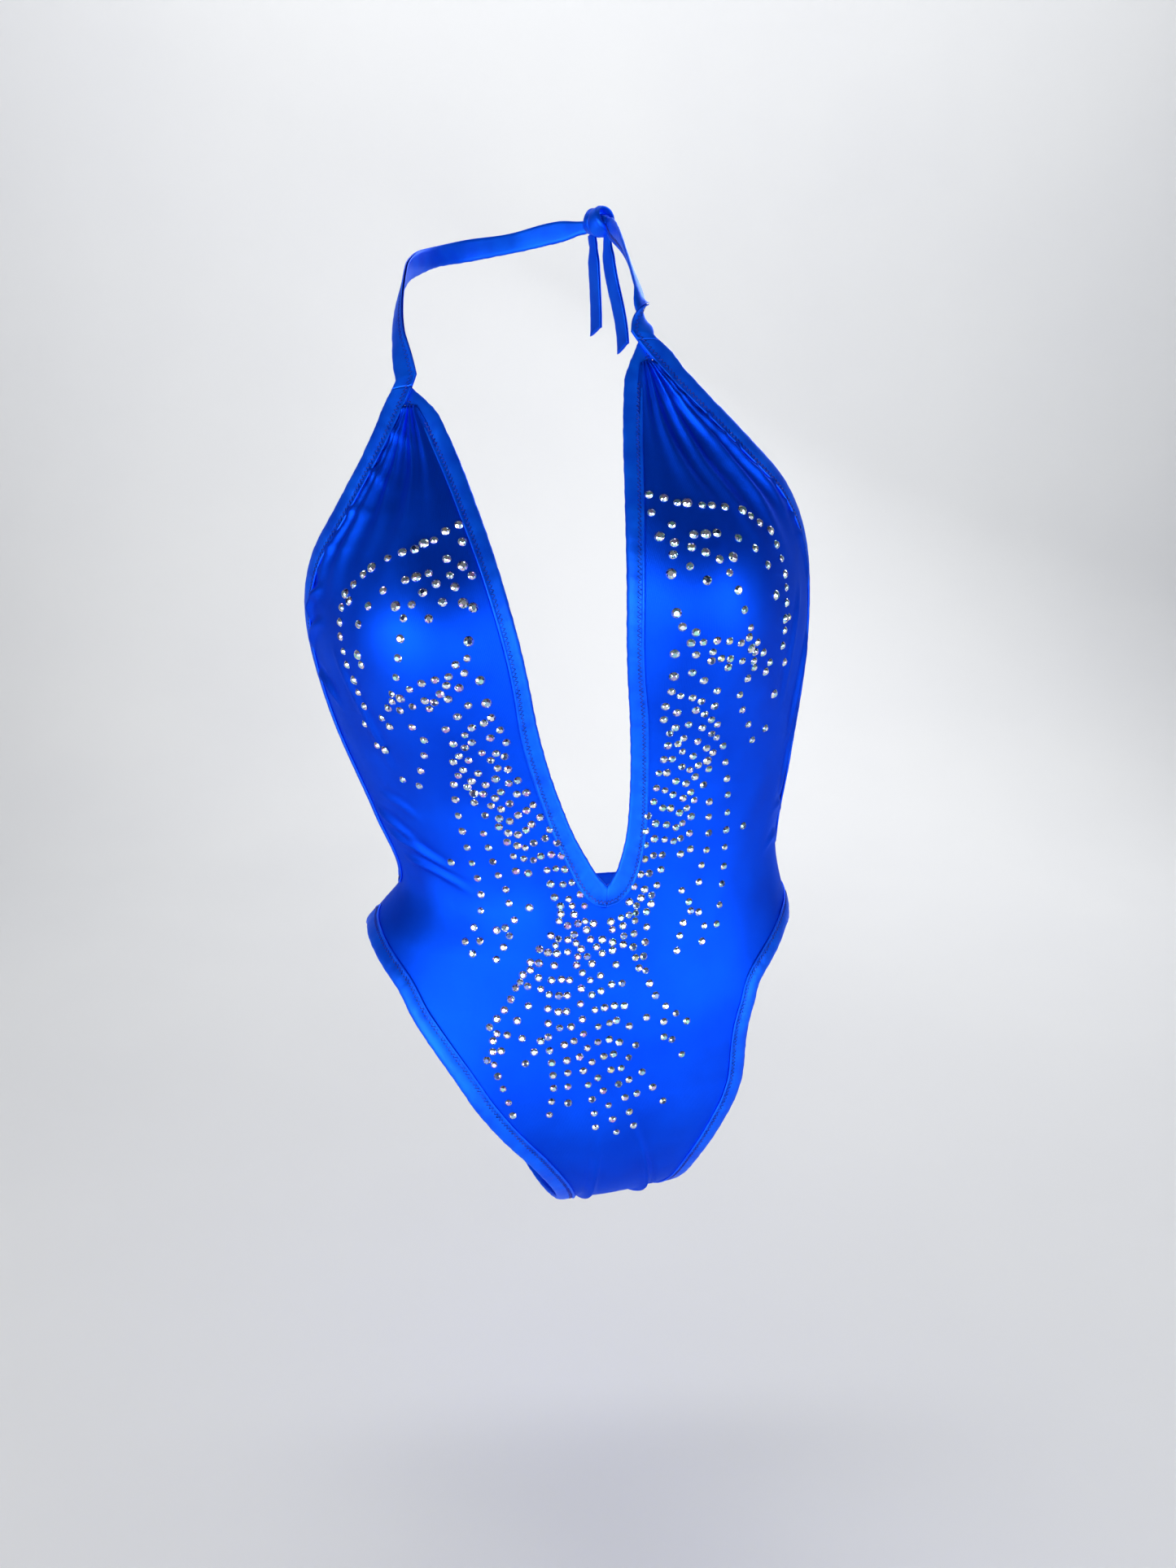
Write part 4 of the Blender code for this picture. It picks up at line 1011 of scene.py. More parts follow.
def build_front():
    lower, waist, upper = front_half()
    rows = np.concatenate([lower, waist])
    fade = np.concatenate([edge_fade(len(lower), "lower"), np.ones((len(waist), HALF_COLUMNS))])
    halves = {}
    for side in (-1, 1):
        low_rise = panel_rise(rows, side, fade)
        high_rise = panel_rise(upper, side, edge_fade(len(upper), "upper"))
        halves[side] = (surface(rows, side, PANEL_LOW, PANEL_HIGH, low_rise),
                        surface(upper, side, PANEL_LOW, PANEL_HIGH, high_rise))
    for layer in (0, 1):
        middle = (halves[-1][0][layer][:, 0] + halves[1][0][layer][:, 0]) / 2
        halves[-1][0][layer][:, 0] = middle
        halves[1][0][layer][:, 0] = middle
    points, faces, uv = [], [], []
    numbers = {}
    for layer in (0, 1):
        for side in (-1, 1):
            joined_rows = np.concatenate([halves[side][0][layer], halves[side][1][layer]])
            places = np.concatenate([rows, upper])
            ids = np.empty(joined_rows.shape[:2], int)
            for row in range(len(joined_rows)):
                for column in range(HALF_COLUMNS):
                    shared = side > 0 and column == 0 and row < len(rows) + 1
                    if shared:
                        ids[row, 0] = numbers[(layer, -1)][row, 0]
                        continue
                    ids[row, column] = len(points)
                    points.append(joined_rows[row, column])
                    uv.append((side * places[row, column, 0] * 0.0021, places[row, column, 1]))
            numbers[(layer, side)] = ids
    last = len(rows)
    middle_ids = {layer: numbers[(layer, -1)][last, 0] for layer in (0, 1)}
    for layer in (0, 1):
        point = (halves[-1][1][layer][0, 0] + halves[1][1][layer][0, 0]) / 2
        points[middle_ids[layer]] = point
        for side in (-1, 1):
            ids = numbers[(layer, side)]
            for row in range(len(ids) - 1):
                for column in range(HALF_COLUMNS - 1):
                    face = (ids[row, column], ids[row, column + 1],
                            ids[row + 1, column + 1], ids[row + 1, column])
                    faces.append(face if (side > 0) == (layer == 1) else tuple(reversed(face)))
    work = bmesh.new()
    verts = [work.verts.new(p) for p in points]
    for face in faces:
        work.faces.new([verts[v] for v in face])
    partner = {}
    for side in (-1, 1):
        for low_id, high_id in zip(numbers[(0, side)].ravel(), numbers[(1, side)].ravel()):
            partner[verts[low_id]] = verts[high_id]
    rim = [edge for edge in work.edges if len(edge.link_faces) == 1]
    for edge in rim:
        a, b = edge.verts
        if a in partner and b in partner:
            work.faces.new((a, b, partner[b], partner[a]))
    bmesh.ops.recalc_face_normals(work, faces=work.faces)
    work.verts.index_update()
    mesh = bpy.data.meshes.new("front_panel_satin")
    work.to_mesh(mesh)
    work.free()
    mesh.materials.append(SATIN)
    layer = mesh.uv_layers.new(name="cloth")
    corner = np.zeros(len(mesh.loops), np.int32)
    mesh.loops.foreach_get("vertex_index", corner)
    layer.data.foreach_set("uv", np.asarray(uv, np.float32)[corner].ravel())
    mesh.polygons.foreach_set("use_smooth", [True] * len(mesh.polygons))
    made = bpy.data.objects.new("front_panel_satin", mesh)
    bpy.context.scene.collection.objects.link(made)
    face_outwards(made)
    finish_piece(made, nodes=("front_panel",))
    both = [np.concatenate([halves[side][0][0], halves[side][1][0]]) for side in (-1, 1)]
    for low in both:
        a = low[1:, :-1] - low[:-1, :-1]
        b = low[:-1, 1:] - low[:-1, :-1]
    return made


def back_half():
    shares = np.linspace(0, 1, 150)
    inner = outline(CENTRE_BACK, shares)
    outer = outline(LEG_SEAM_BACK, shares)
    lower = between(inner, outer, HALF_COLUMNS, 1.2, 0.0, TONGUE)
    plain = between(inner, outer, HALF_COLUMNS, 1.2)
    ease = smooth_step(np.arange(len(lower)), len(lower) - 14, len(lower) - 1)[:, None, None]
    lower = lower * (1 - ease) + plain * ease
    angle = lower[-1, :, 0]
    top = np.stack([angle, waist_line(angle) + TONGUE * (1 - smooth_step(angle, 70, 88))], axis=-1)
    steps = np.linspace(0, 1, 20)[1:, None, None]
    upper = lower[-1][None] * (1 - steps) + top[None] * steps
    return np.concatenate([lower, upper])


BACK_CREASES = ((62, -0.052, 44, -0.066, 2.6, 0.7), (56, -0.070, 40, -0.088, 2.6, 0.5),
                (1.5, -0.205, 2.2, -0.150, 1.8, 1.0), (78, -0.030, 60, -0.042, 2.2, 0.6))


def back_rise(points, side):
    angle, height = points[..., 0], points[..., 1]
    rise = np.zeros(angle.shape)
    for crease in BACK_CREASES:
        rise = rise + crease_rise(angle, height, crease)
    slow = np.sin(angle * 0.19 + height * 37 + side) * np.sin(height * 49 - angle * 0.13)
    return rise + 0.14 * MM * (slow + 1.0)


def build_back():
    rows = back_half()
    columns = np.linspace(0, 1, HALF_COLUMNS)[None, :]
    fade = np.broadcast_to(1 - smooth_step(columns, 0.93, 0.985), rows.shape[:2])
    fade = fade * (1 - smooth_step(np.arange(len(rows)), len(rows) - 12, len(rows) - 4))[:, None]
    left = surface(rows, 1, PANEL_LOW, PANEL_HIGH, back_rise(rows, 1) * fade, True)
    right = surface(rows, -1, PANEL_LOW, PANEL_HIGH, back_rise(rows, -1) * fade, True)
    layers = []
    for a, b in zip(right, left):
        b = b.copy()
        b[:, 0] = (a[:, 0] + b[:, 0]) / 2
        layers.append(np.concatenate([a[:, :0:-1], b], axis=1))
    places = np.concatenate([rows[:, :0:-1] * [-1, 1], rows], axis=1)
    made = thick_grid("back_panel_satin", layers[0], layers[1], SATIN, metres_uv(places))
    finish_piece(made, nodes=("back_panel",))
    declare_cloth(made, layers[0])
    return made


def build_gusset():
    """The lining inside the crotch, a double thickness of matte knit."""
    shares = np.linspace(0, 0.36, 90)
    inner, outer = outline(CENTRE_FRONT, shares), outline(LEG_SEAM_FRONT, shares)
    rows = inner[:, None] + (outer - inner)[:, None] * np.linspace(0, 0.93, 26)[None, :, None]
    wave = 0.22 * MM * (1 + np.sin(rows[..., 0] * 0.9 + rows[..., 1] * 120))
    wave = wave * smooth_step(rows[..., 1], -0.26, -0.24) * 0.4
    layers = []
    right, left = (surface(rows, side, LINING_LOW, LINING_HIGH, -wave * 0.3) for side in (-1, 1))
    for a, b in zip(right, left):
        b = b.copy()
        b[:, 0] = (a[:, 0] + b[:, 0]) / 2
        layers.append(np.concatenate([a[:, :0:-1], b], axis=1))
    places = np.concatenate([rows[:, :0:-1] * [-1, 1], rows], axis=1)
    made = thick_grid("gusset_lining_knit", layers[0], layers[1], LINING, metres_uv(places))
    finish_piece(made, nodes=("gusset_lining",))
    declare_cloth(made, layers[0])


def build_cup_lining(side):
    """The soft lining of one cup, with a wavy free edge at the bottom."""
    shares = np.linspace(0.40, 1.0, 110)
    neck, open_side = outline(NECK_SEAM, shares), outline(SIDE_SEAM, shares)
    rows = neck[:, None] + (open_side - neck)[:, None] * np.linspace(0.03, 0.97, 60)[None, :, None]
    start = rows[0, :, 1]
    goal = CUP_LINING_HEIGHT + 0.004 * np.sin(np.linspace(0, math.pi, 60))
    pull = (1 - smooth_step(np.arange(110), 0, 40))[:, None]
    rows[..., 1] += (goal - start)[None] * pull
    ripple = 0.12 * MM * np.sin(rows[..., 0] * 0.55 + side) * (1 - smooth_step(rows[..., 1], 0.065, 0.1))
    low, high = surface(rows, side, LINING_LOW, LINING_HIGH, -ripple - 0.12 * MM)
    name = "cup_lining_" + SIDE_NAMES[side]
    made = thick_grid(name + "_knit", low, high, LINING, metres_uv(rows))
    finish_piece(made, nodes=(name,))
    declare_cloth(made, low)


# ---------------------------------------------------------------- bindings and stitches


def elastic_rings(strip, reach=3.2):
    columns = []
    for across, lift in ((1.9, 1.28), (1.9, 1.92), (1.9 + reach, 1.92), (1.9 + reach, 1.28)):
        columns.append(strip.at(np.full(len(strip.origin), across * MM) + strip.width * 0.22, lift * MM))
    return np.stack(columns, axis=1)


ALL_STITCHES = []


def build_strip(name, strip, seed, node, elastic=None, loop=False):
    made = sweep(name, strip_rings(strip, seed), BOUND, loop=loop)
    finish_piece(made, nodes=(node,))
    stitches = stitch_path(strip)
    ALL_STITCHES.append(stitches)
    if elastic:
        band = sweep(elastic + "_knit", elastic_rings(strip), ELASTIC, loop=loop)
        finish_piece(band, nodes=(elastic,))
    return made


def build_bindings():
    """Every bound edge, and the straps that go on from the open sides."""
    straps = {}
    for side, word in SIDE_NAMES.items():
        leg = leg_strip(side).even(STATION, loop=True)
        build_strip("leg_binding_" + word + "_folded", leg, 1.3 + side, "leg_binding_" + word,
                    "leg_elastic_" + word, loop=True)
        whole, junction = side_and_strap(side)
        lower = whole.part(0, junction + 1)
        upper = whole.part(junction, len(whole.origin))
        build_strip("side_binding_" + word + "_folded", lower, 2.7 + side, "side_binding_" + word,
                    "side_elastic_" + word)
        neck = neck_strip(side, whole, junction)
        build_strip("neckline_binding_" + word + "_folded", neck, 4.1 + side, "neckline_binding_" + word,
                    "neckline_elastic_" + word)
        straps[side] = (whole, junction, upper)
    build_strip("back_waist_binding_folded", waist_strip().even(STATION), 5.5, "back_waist_binding",
                "back_waist_elastic")
    made = joined_tubes("topstitching", ALL_STITCHES, 0.19 * MM, 5, THREAD)
    finish_piece(made)
    for side, (whole, junction, upper) in straps.items():
        build_strap(side, whole, junction)


def build_strap(side, whole, junction):
    """The folded strap from the top of the cup to the knot. It bends where it leaves the cup."""
    word = SIDE_NAMES[side]
    rings = strip_rings(whole, 2.7 + side)[junction:]
    made = sweep("halter_strap_" + word + "_folded", rings, BOUND)
    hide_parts("halter_strap_" + word)
    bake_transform(made)
    path = stitch_path(whole)[2 * junction:]
    thread = joined_tubes("strap_stitching_" + word, [path], 0.13 * MM, 5, THREAD)
    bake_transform(thread)


# ---------------------------------------------------------------- knot and tails


def build_knot():
    """The tied knot: two crossing turns of the strap over a small core, creased where they are pulled."""
    around, out, up = knot_frame()
    centre = knot_centre()
    half = np.array(KNOT_SIZE) / 2
    turns = np.linspace(0, 2 * math.pi, 97)[:-1]
    for number, (tilt, scale, phase) in enumerate(((0.30, 1.0, 0.0), (-0.55, 0.86, 1.4)), 1):
        lead = around * math.sin(tilt) + up * math.cos(tilt)
        axis = around * math.cos(tilt) - up * math.sin(tilt)
        shift = (-0.0034 if number == 1 else 0.0040)
        radius_up = (half[2] - 0.0009) * scale
        radius_out = (half[1] - 0.0009) * scale
        path = np.array([centre + axis * (shift + 0.0012 * math.sin(t + phase))
                         + lead * radius_up * math.cos(t)
                         + out * radius_out * math.sin(t) for t in turns])
        facing = unit(path - (centre + axis * shift))
        along = unit(np.roll(path, -1, axis=0) - np.roll(path, 1, axis=0))
        across = unit(np.cross(facing, along))
        normal = np.cross(along, across)
        rings = []
        count = 26
        for p, a, n, t in zip(path, across, normal, turns):
            corner = np.arange(count) * 2 * math.pi / count
            u = np.sign(np.cos(corner)) * np.abs(np.cos(corner)) ** 0.6
            v = np.sign(np.sin(corner)) * np.abs(np.sin(corner)) ** 0.8
            width = (0.0098 if number == 1 else 0.0084) * (1 + 0.10 * math.sin(2 * t + phase))
            crease = 0.30 * MM * np.sin(u * 7.5 + 1.3 * math.sin(t * 2 + phase)) * (v > 0)
            crease = crease * (1 - np.abs(u) ** 3)
            sink = -0.9 * MM * np.abs(u) ** 2.2
            rings.append(p + np.outer(u * width / 2, a) + np.outer(v * 0.00095 + crease + sink, n))
        made = sweep(f"tie_knot_turn_{number}", np.array(rings), BOUND, loop=True)
        finish_piece(made, "halter", ("tie_knot",))
    rings = []
    for step in np.linspace(0.04, math.pi - 0.04, 25):
        along = -math.cos(step) * (half[0] - 0.0016)
        row = []
        for turn in np.arange(28) * 2 * math.pi / 28:
            pleat = 1 + 0.07 * math.cos(5 * turn + 2.2 * math.cos(step))
            row.append(centre + around * along
                       + out * math.sin(step) * (half[1] - 0.0022) * math.cos(turn) * pleat
                       + up * math.sin(step) * (half[2] - 0.0024) * math.sin(turn) * pleat)
        rings.append(row)
    made = sweep("tie_knot_core", np.array(rings), BOUND)
    finish_piece(made, "halter")


def build_tail(side):
    """A loose end of the tie: a folded strip with a slanting cut at its end."""
    around, out, up = knot_frame()
    word = SIDE_NAMES[side]
    length = TAIL_LENGTHS[0 if side < 0 else 1]
    splay = math.radians(TAIL_SPLAY)
    down = -up * math.cos(splay) - around * side * math.sin(splay)
    count = 2 * round((length + TAIL_TUCK) / STATION / 2) + 1
    places = np.linspace(-TAIL_TUCK / length, 1.0, count)[:, None]
    path = tail_top(side) + down * length * places
    path = path + out * (0.006 * np.sin(np.maximum(places, 0) * 2.2) * places)
    path = path + around * side * 0.0006 * np.sin(places * 6.0)
    path = path + around * side * 0.30 * np.minimum(places, 0) * length
    facing = np.broadcast_to(out, path.shape)
    along = unit(np.gradient(path, axis=0))
    across = unit(np.cross(facing, along))
    normal = np.cross(along, across)
    normal = normal * np.sign((normal * out).sum(-1, keepdims=True))
    pinch = 1 - 0.35 * (1 - smooth_step(places[:, 0] * length, 0.0, 0.010))
    width = STRAP_WIDTH * 0.95 * pinch
    strip = Strip(path - across * width[:, None] / 2, across, normal, width, STRAP_FLAT, 0.0)
    rings = strip_rings(strip, 6.3 + side)
    reach = smooth_step(places[:, 0], 0.86, 1.0)
    slant = ((rings - path[:, None]) * across[:, None]).sum(-1) / width[:, None]
    rings = rings + along[:, None] * (slant * 0.0045 * reach[:, None])[..., None]
    made = sweep("tie_tail_" + word + "_folded", rings, BOUND)
    body = word + "_tail"
    finish_piece(made, body, ("tie_tail_" + word,))
    thread = joined_tubes("tail_stitching_" + word, [stitch_path(strip)[4:-8]], 0.12 * MM, 5, THREAD)
    finish_piece(thread, body)


# ---------------------------------------------------------------- crystals

STONE_RADIUS = 2.25 * MM
SMALL_RADIUS = 2.05 * MM
TRIES = 14  # a stone that would touch its neighbours is moved a little, this many times at most
LARGE_RADIUS = 2.6 * MM

SEED = 7
# Larger stones of the left half, mirrored to the right, as (angle, height).
ACCENTS = ((18.3, 0.188), (26.4, 0.186), (30.6, 0.174), (19.0, 0.171), (19.2, 0.153), (41.8, 0.152),
           (18.7, 0.133), (47.0, 0.098), (28.0, 0.070), (35.5, 0.193), (43.0, 0.182), (24.8, 0.201),
           (46.8, 0.138), (34.5, 0.129))
# Strands of stones over each half, as (angle, height) points that each strand runs through, with the number
# of stones on it.
CUP_STRANDS = (
    (18, ((18.2, .2075), (25, .2005), (33, .195), (40, .187), (45, .173), (47.2, .155), (47, .124))),
    (7, ((18, .199), (24, .187), (31, .184), (37.4, .174), (39.6, .167))),
    (6, ((18.2, .187), (23.4, .1815), (27.5, .1745), (29.3, .168))),
    (3, ((19.9, .179), (25, .166))),
    (6, ((30.7, .1595), (33.5, .141), (38.5, .1245), (42, .118))),
    (8, ((21.2, .1375), (26, .137), (31.7, .1335), (38.4, .1245))),
    (6, ((20, .1455), (22.2, .143), (24.5, .1345), (27.5, .127), (29.4, .122))),
    (5, ((22.7, .131), (25.5, .129), (30.7, .125), (36, .122))),
    (15, ((7.5, .0045), (10.7, .0175), (11.5, .037), (14.5, .0545), (16, .0695), (18.5, .0855),
          (17, .099),
          (18.4, .1125))),
    (13, ((10.7, .002), (13.2, .021), (14.2, .0385), (16.7, .049), (17.2, .065), (20.2, .0825),
          (19.5, .0945),
          (20.1, .110))),
    (14, ((14.7, .0035), (15.5, .0155), (16.7, .0315), (19.2, .056), (21.5, .0705), (21.5, .088),
          (23.5, .0995),
          (22.4, .1085))),
    (11, ((19, .0265), (20.7, .042), (22.2, .053), (23, .064), (24.5, .0765), (25.7, .0945),
          (24.5, .1055))),
    (12, ((21.2, .019), (21.5, .037), (23.4, .048), (26.2, .0725), (28, .0815), (27.5, .0965),
          (27.7, .110))),
    (9, ((24.2, .0205), (24, .0365), (25.5, .0525), (28.4, .059), (28.5, .075), (30, .0845),
         (29.2, .0905))),
    (6, ((29.5, .045), (30, .0205), (28.4, .0095), (27.7, .0005))),
    (11, ((32, .0765), (34.2, .061), (35.7, .044), (36.6, .0225), (36.4, -.002), (35.2, -.0245))),
    (4, ((21.7, -.002), (24.5, -.009), (29.7, -.018), (31, -.023))),
    (4, ((26.5, -.0145), (24, -.018), (23.2, -.0335))),
    (10, ((12, -.0105), (13.7, -.028), (16.2, -.0515), (18.2, -.062), (22.2, -.072))),
    (7, ((8.5, -.007), (10.7, -.0255), (12.2, -.0345), (15.4, -.0455))),
    (3, ((2.4, -.0135), (5.2, -.011), (8.0, -.0125))),
    (3, ((1.5, -.0225), (4.6, -.0245), (7.4, -.0215))),
    (4, ((6.2, -.003), (6.6, -.016), (6.0, -.028))),
    (5, ((9.6, -.001), (9.2, -.014), (10.6, -.027))),
    (4, ((3.4, -.0165), (3.0, -.030))),
    (3, ((12.8, -.0015), (12.6, -.011))),
)
CUP_SINGLES = ((36, .122), (41, .113), (50, .1135), (35, .1125), (33.7, .105), (35.4, .095),
               (38.7, .0855),
               (46.4, .0795), (41.5, .0755), (35, .129), (43.7, .0255), (22, .1215), (24.4, .1165),
               (30.7, -.031), (47, .0985), (41.7, .152))
CUP_LARGE = ((18.9, .171), (19.2, .1535), (18.7, .1335), (18.7, .121), (26.4, .1865), (30.5, .174))
# The fan below the neckline, whose two halves differ.
FAN_STRANDS = (
    (13, ((-.5, -.0315), (-.7, -.056), (-2.2, -.0925), (-1.2, -.1415))),
    (13, ((1.2, -.026), (2, -.0655), (.8, -.0825), (2.7, -.137))),
    (13, ((-1.8, -.027), (-3.7, -.051), (-4.2, -.083), (-5.2, -.136))),
    (9, ((4, -.0425), (4.5, -.068), (3, -.0855), (4.7, -.1135))),
    (9, ((-4.8, -.044), (-6.5, -.069), (-6.7, -.086), (-10, -.1155))),
    (10, ((8, -.0265), (6.2, -.059), (5.2, -.077), (7.7, -.1035), (10, -.121))),
    (13, ((-8.2, -.028), (-7.7, -.045), (-9, -.0695), (-11, -.0965), (-14.2, -.1245))),
    (4, ((9.4, -.048), (8.6, -.0835))),
    (14, ((-11, -.043), (-15.7, -.0545), (-21.2, -.075), (-23, -.0975), (-21.7, -.126))),
    (6, ((-10, -.0495), (-14.5, -.065), (-24, -.0925))),
    (3, ((-11, -.078), (-16, -.092))),
    (4, ((9, -.0585), (13, -.067), (17.5, -.092))),
)
FAN_SINGLES = ((-15.2, -.078), (16.7, -.071), (16.7, -.0805))

# Facet colours: the white is the silver foil, the cyan, violet, yellow and green are painted glints of
# fire, and the dark blue is a painted reflection.
FACET_FOIL_AND_GLINTS = {
    -1: ((0.95, 0.96, 1.0), (0.55, 0.80, 1.0), (0.80, 0.45, 0.92), (1.0, 0.86, 0.72), (0.05, 0.09, 0.28),
         (0.50, 0.95, 0.86)),
    1: ((0.95, 0.97, 1.0), (0.45, 0.86, 1.0), (0.74, 0.60, 0.98), (0.98, 0.96, 0.62), (0.04, 0.09, 0.26),
        (0.48, 1.0, 0.80)),
}
FACET_ODDS = (0.34, 0.20, 0.13, 0.07, 0.16, 0.10)


def strand_places(count, points):
    """Places evenly spaced along a strand, by the distance over the body."""
    points = np.asarray(points, float)
    fine = through(np.arange(len(points)), points, np.linspace(0, len(points) - 1, 200))
    metres = skin(fine[:, 0], fine[:, 1])
    length = np.concatenate([[0.0], np.cumsum(np.linalg.norm(np.diff(metres, axis=0), axis=1))])
    wanted = np.linspace(0, length[-1], count)
    return np.stack([np.interp(wanted, length, fine[:, axis]) for axis in (0, 1)], axis=-1)


def stone_form():
    """Points and faces of a flat-backed cut stone of radius 1: girdle, two rings of facets and a table."""
    rings = ((1.0, 0.0, 16, 0.0), (1.0, 0.13, 16, 0.0), (0.78, 0.40, 8, 0.5), (0.50, 0.62, 8, 0.0))
    work = bmesh.new()
    for radius, lift, count, offset in rings:
        for corner in range(count):
            turn = (corner + offset) * 2 * math.pi / count
            work.verts.new((radius * math.cos(turn), radius * math.sin(turn), lift))
    bmesh.ops.convex_hull(work, input=work.verts)
    bmesh.ops.dissolve_limit(work, angle_limit=0.01, verts=work.verts, edges=work.edges)
    work.verts.index_update()
    points = np.array([v.co for v in work.verts])
    faces = [tuple(v.index for v in face.verts) for face in work.faces]
    work.free()
    return points, faces


STONE_POINTS, STONE_FACES = stone_form()


def place_stones(name, stones, rng):
    """One piece holding stones, each given as side, angle, height and radius."""
    points, faces, foil_and_glints = [], [], []
    for side, angle, height, radius in stones:
        place = np.array([angle, height])
        rise = float(folds(np.array([angle]), np.array([height]), side)[0])
        on_angle, on_height = on_body(place, side)
        normal = outward(on_angle, on_height)
        tip = unit(normal + rng.normal(0, 0.035, 3))
        beside = unit(np.cross(tip, [0.0, 0.0, 1.0]))
        above = np.cross(beside, tip)
        spin = rng.uniform(0, math.pi)
        first = beside * math.cos(spin) + above * math.sin(spin)
        second = above * math.cos(spin) - beside * math.sin(spin)
        centre = skin(on_angle, on_height) + normal * (PANEL_HIGH + rise - 0.05 * MM)
        start = len(points)
        form = STONE_POINTS * radius
        flat = centre + np.outer(form[:, 0], first) + np.outer(form[:, 1], second)
        form = flat + np.outer(form[:, 2], tip)
        points.extend(form.tolist())
        faces.extend(tuple(start + v for v in face) for face in STONE_FACES)
        # Each facet takes the foil's white, a painted glint or a painted dark reflection, dimmed at random
        # by a painted facet shade.
        kinds = rng.choice(len(FACET_ODDS), len(STONE_FACES), p=FACET_ODDS)
        shade = rng.uniform(0.75, 1.0, len(STONE_FACES))
        foil_and_glints.extend(np.append(np.array(FACET_FOIL_AND_GLINTS[side][k]) * s, 1.0) for k, s in zip(kinds, shade))
    made = mesh_piece(name, points, faces, CRYSTAL, smooth=False)
    colour = made.data.color_attributes.new("facet", "FLOAT_COLOR", "CORNER")
    values = []
    for face, foil_and_glint_colour in zip(made.data.polygons, foil_and_glints):
        values.extend([foil_and_glint_colour] * face.loop_total)
    colour.data.foreach_set("color", np.array(values, np.float32).ravel())
    return made


def keep_apart(stones, new):
    """Whether a new stone lies clear of those already placed."""
    place = lifted(np.array(new[1:3]), new[0], 0.0)
    for other, radius in stones:
        if np.linalg.norm(other - place) < (radius + new[3]) * 0.99:
            return None
    return place


def build_crystals():
    rng = np.random.default_rng(SEED)
    taken, kept = [], {"bust": [], "waist": [], "fan": []}
    accents = []
    for number, point in enumerate(ACCENTS, 1):
        for side, word in SIDE_NAMES.items():
            stone = (side, point[0], point[1], LARGE_RADIUS)
            taken.append((lifted(np.array(point), side, 0.0), LARGE_RADIUS))
            accents.append((f"accent_crystal_{word}_{number:02d}", stone))

    def offer(group, side, angle, height, radius):
        radius = radius * rng.uniform(0.94, 1.04)
        for attempt in range(TRIES):
            spread = 0.3 * MM * (1 + attempt * 0.45)
            stone = (side, angle + rng.normal(0, spread) * 400, height + rng.normal(0, spread), radius)
            place = keep_apart(taken, stone)
            if place is not None:
                taken.append((place, radius))
                kept[group].append(stone)
                return

    for side in (-1, 1):
        for count, points in CUP_STRANDS:
            group = "bust" if points[0][1] > 0.1 else "waist"
            for angle, height in strand_places(count, points):
                offer(group, side, angle, height, STONE_RADIUS if rng.random() < 0.72 else SMALL_RADIUS)
        for angle, height in CUP_SINGLES:
            offer("bust", side, angle, height, STONE_RADIUS)
        for angle, height in CUP_LARGE:
            offer("bust", side, angle, height, LARGE_RADIUS)
    for count, points in FAN_STRANDS:
        for angle, height in strand_places(count, [(abs(a), h) for a, h in points]):
            side = 1 if points[-1][0] > 0 else -1
            offer("fan", side, angle, height, STONE_RADIUS if rng.random() < 0.72 else SMALL_RADIUS)
    for angle, height in FAN_SINGLES:
        offer("fan", 1 if angle > 0 else -1, abs(angle), height, STONE_RADIUS)
    for group, stones in kept.items():
        for side in (-1, 1):
            own = [stone for stone in stones if stone[0] == side]
            made = place_stones(f"crystals_{group}_{SIDE_NAMES[side]}", own, rng)
            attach(made, "garment")
            print(f"stones {made.name}: {len(own)}")
    for name, stone in accents:
        made = place_stones(name + "_cut", [stone], rng)
        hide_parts(name)
        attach(made, "garment")


# ---------------------------------------------------------------- plain seams


def build_seams():
    """The seams that join front and back: a row of small stitches with a raised thread."""
    paths = []
    for side in (-1, 1):
        share = np.linspace(0, 1, 60)
        points = np.stack([np.full(60, 89.7), -0.0262 + 0.0205 * share], axis=-1)
        wave = 0.12 * MM * np.sin(np.arange(60) * 1.7)
        paths.append(lifted(points, side, PANEL_HIGH + 0.12 * MM + wave))
    share = np.linspace(-1, 1, 60)
    angle = 10.6 * np.abs(share)
    for back, offset in ((False, 0.9 * MM), (True, 0.9 * MM)):
        height = np.full(60, (CROTCH_BACK if back else CROTCH_FRONT) + offset)
        wave = 0.10 * MM * np.sin(np.arange(60) * 1.9)
        points = np.stack([angle, height], axis=-1)
        halves = [lifted(points[share < 0], -1, PANEL_HIGH + 0.12 * MM + wave[share < 0], back),
                  lifted(points[share >= 0], 1, PANEL_HIGH + 0.12 * MM + wave[share >= 0], back)]
        paths.append(np.concatenate(halves))
    made = joined_tubes("seam_stitching", paths, 0.16 * MM, 6, THREAD)
    finish_piece(made)


# ---------------------------------------------------------------- room, light and camera


FLOOR = -0.42


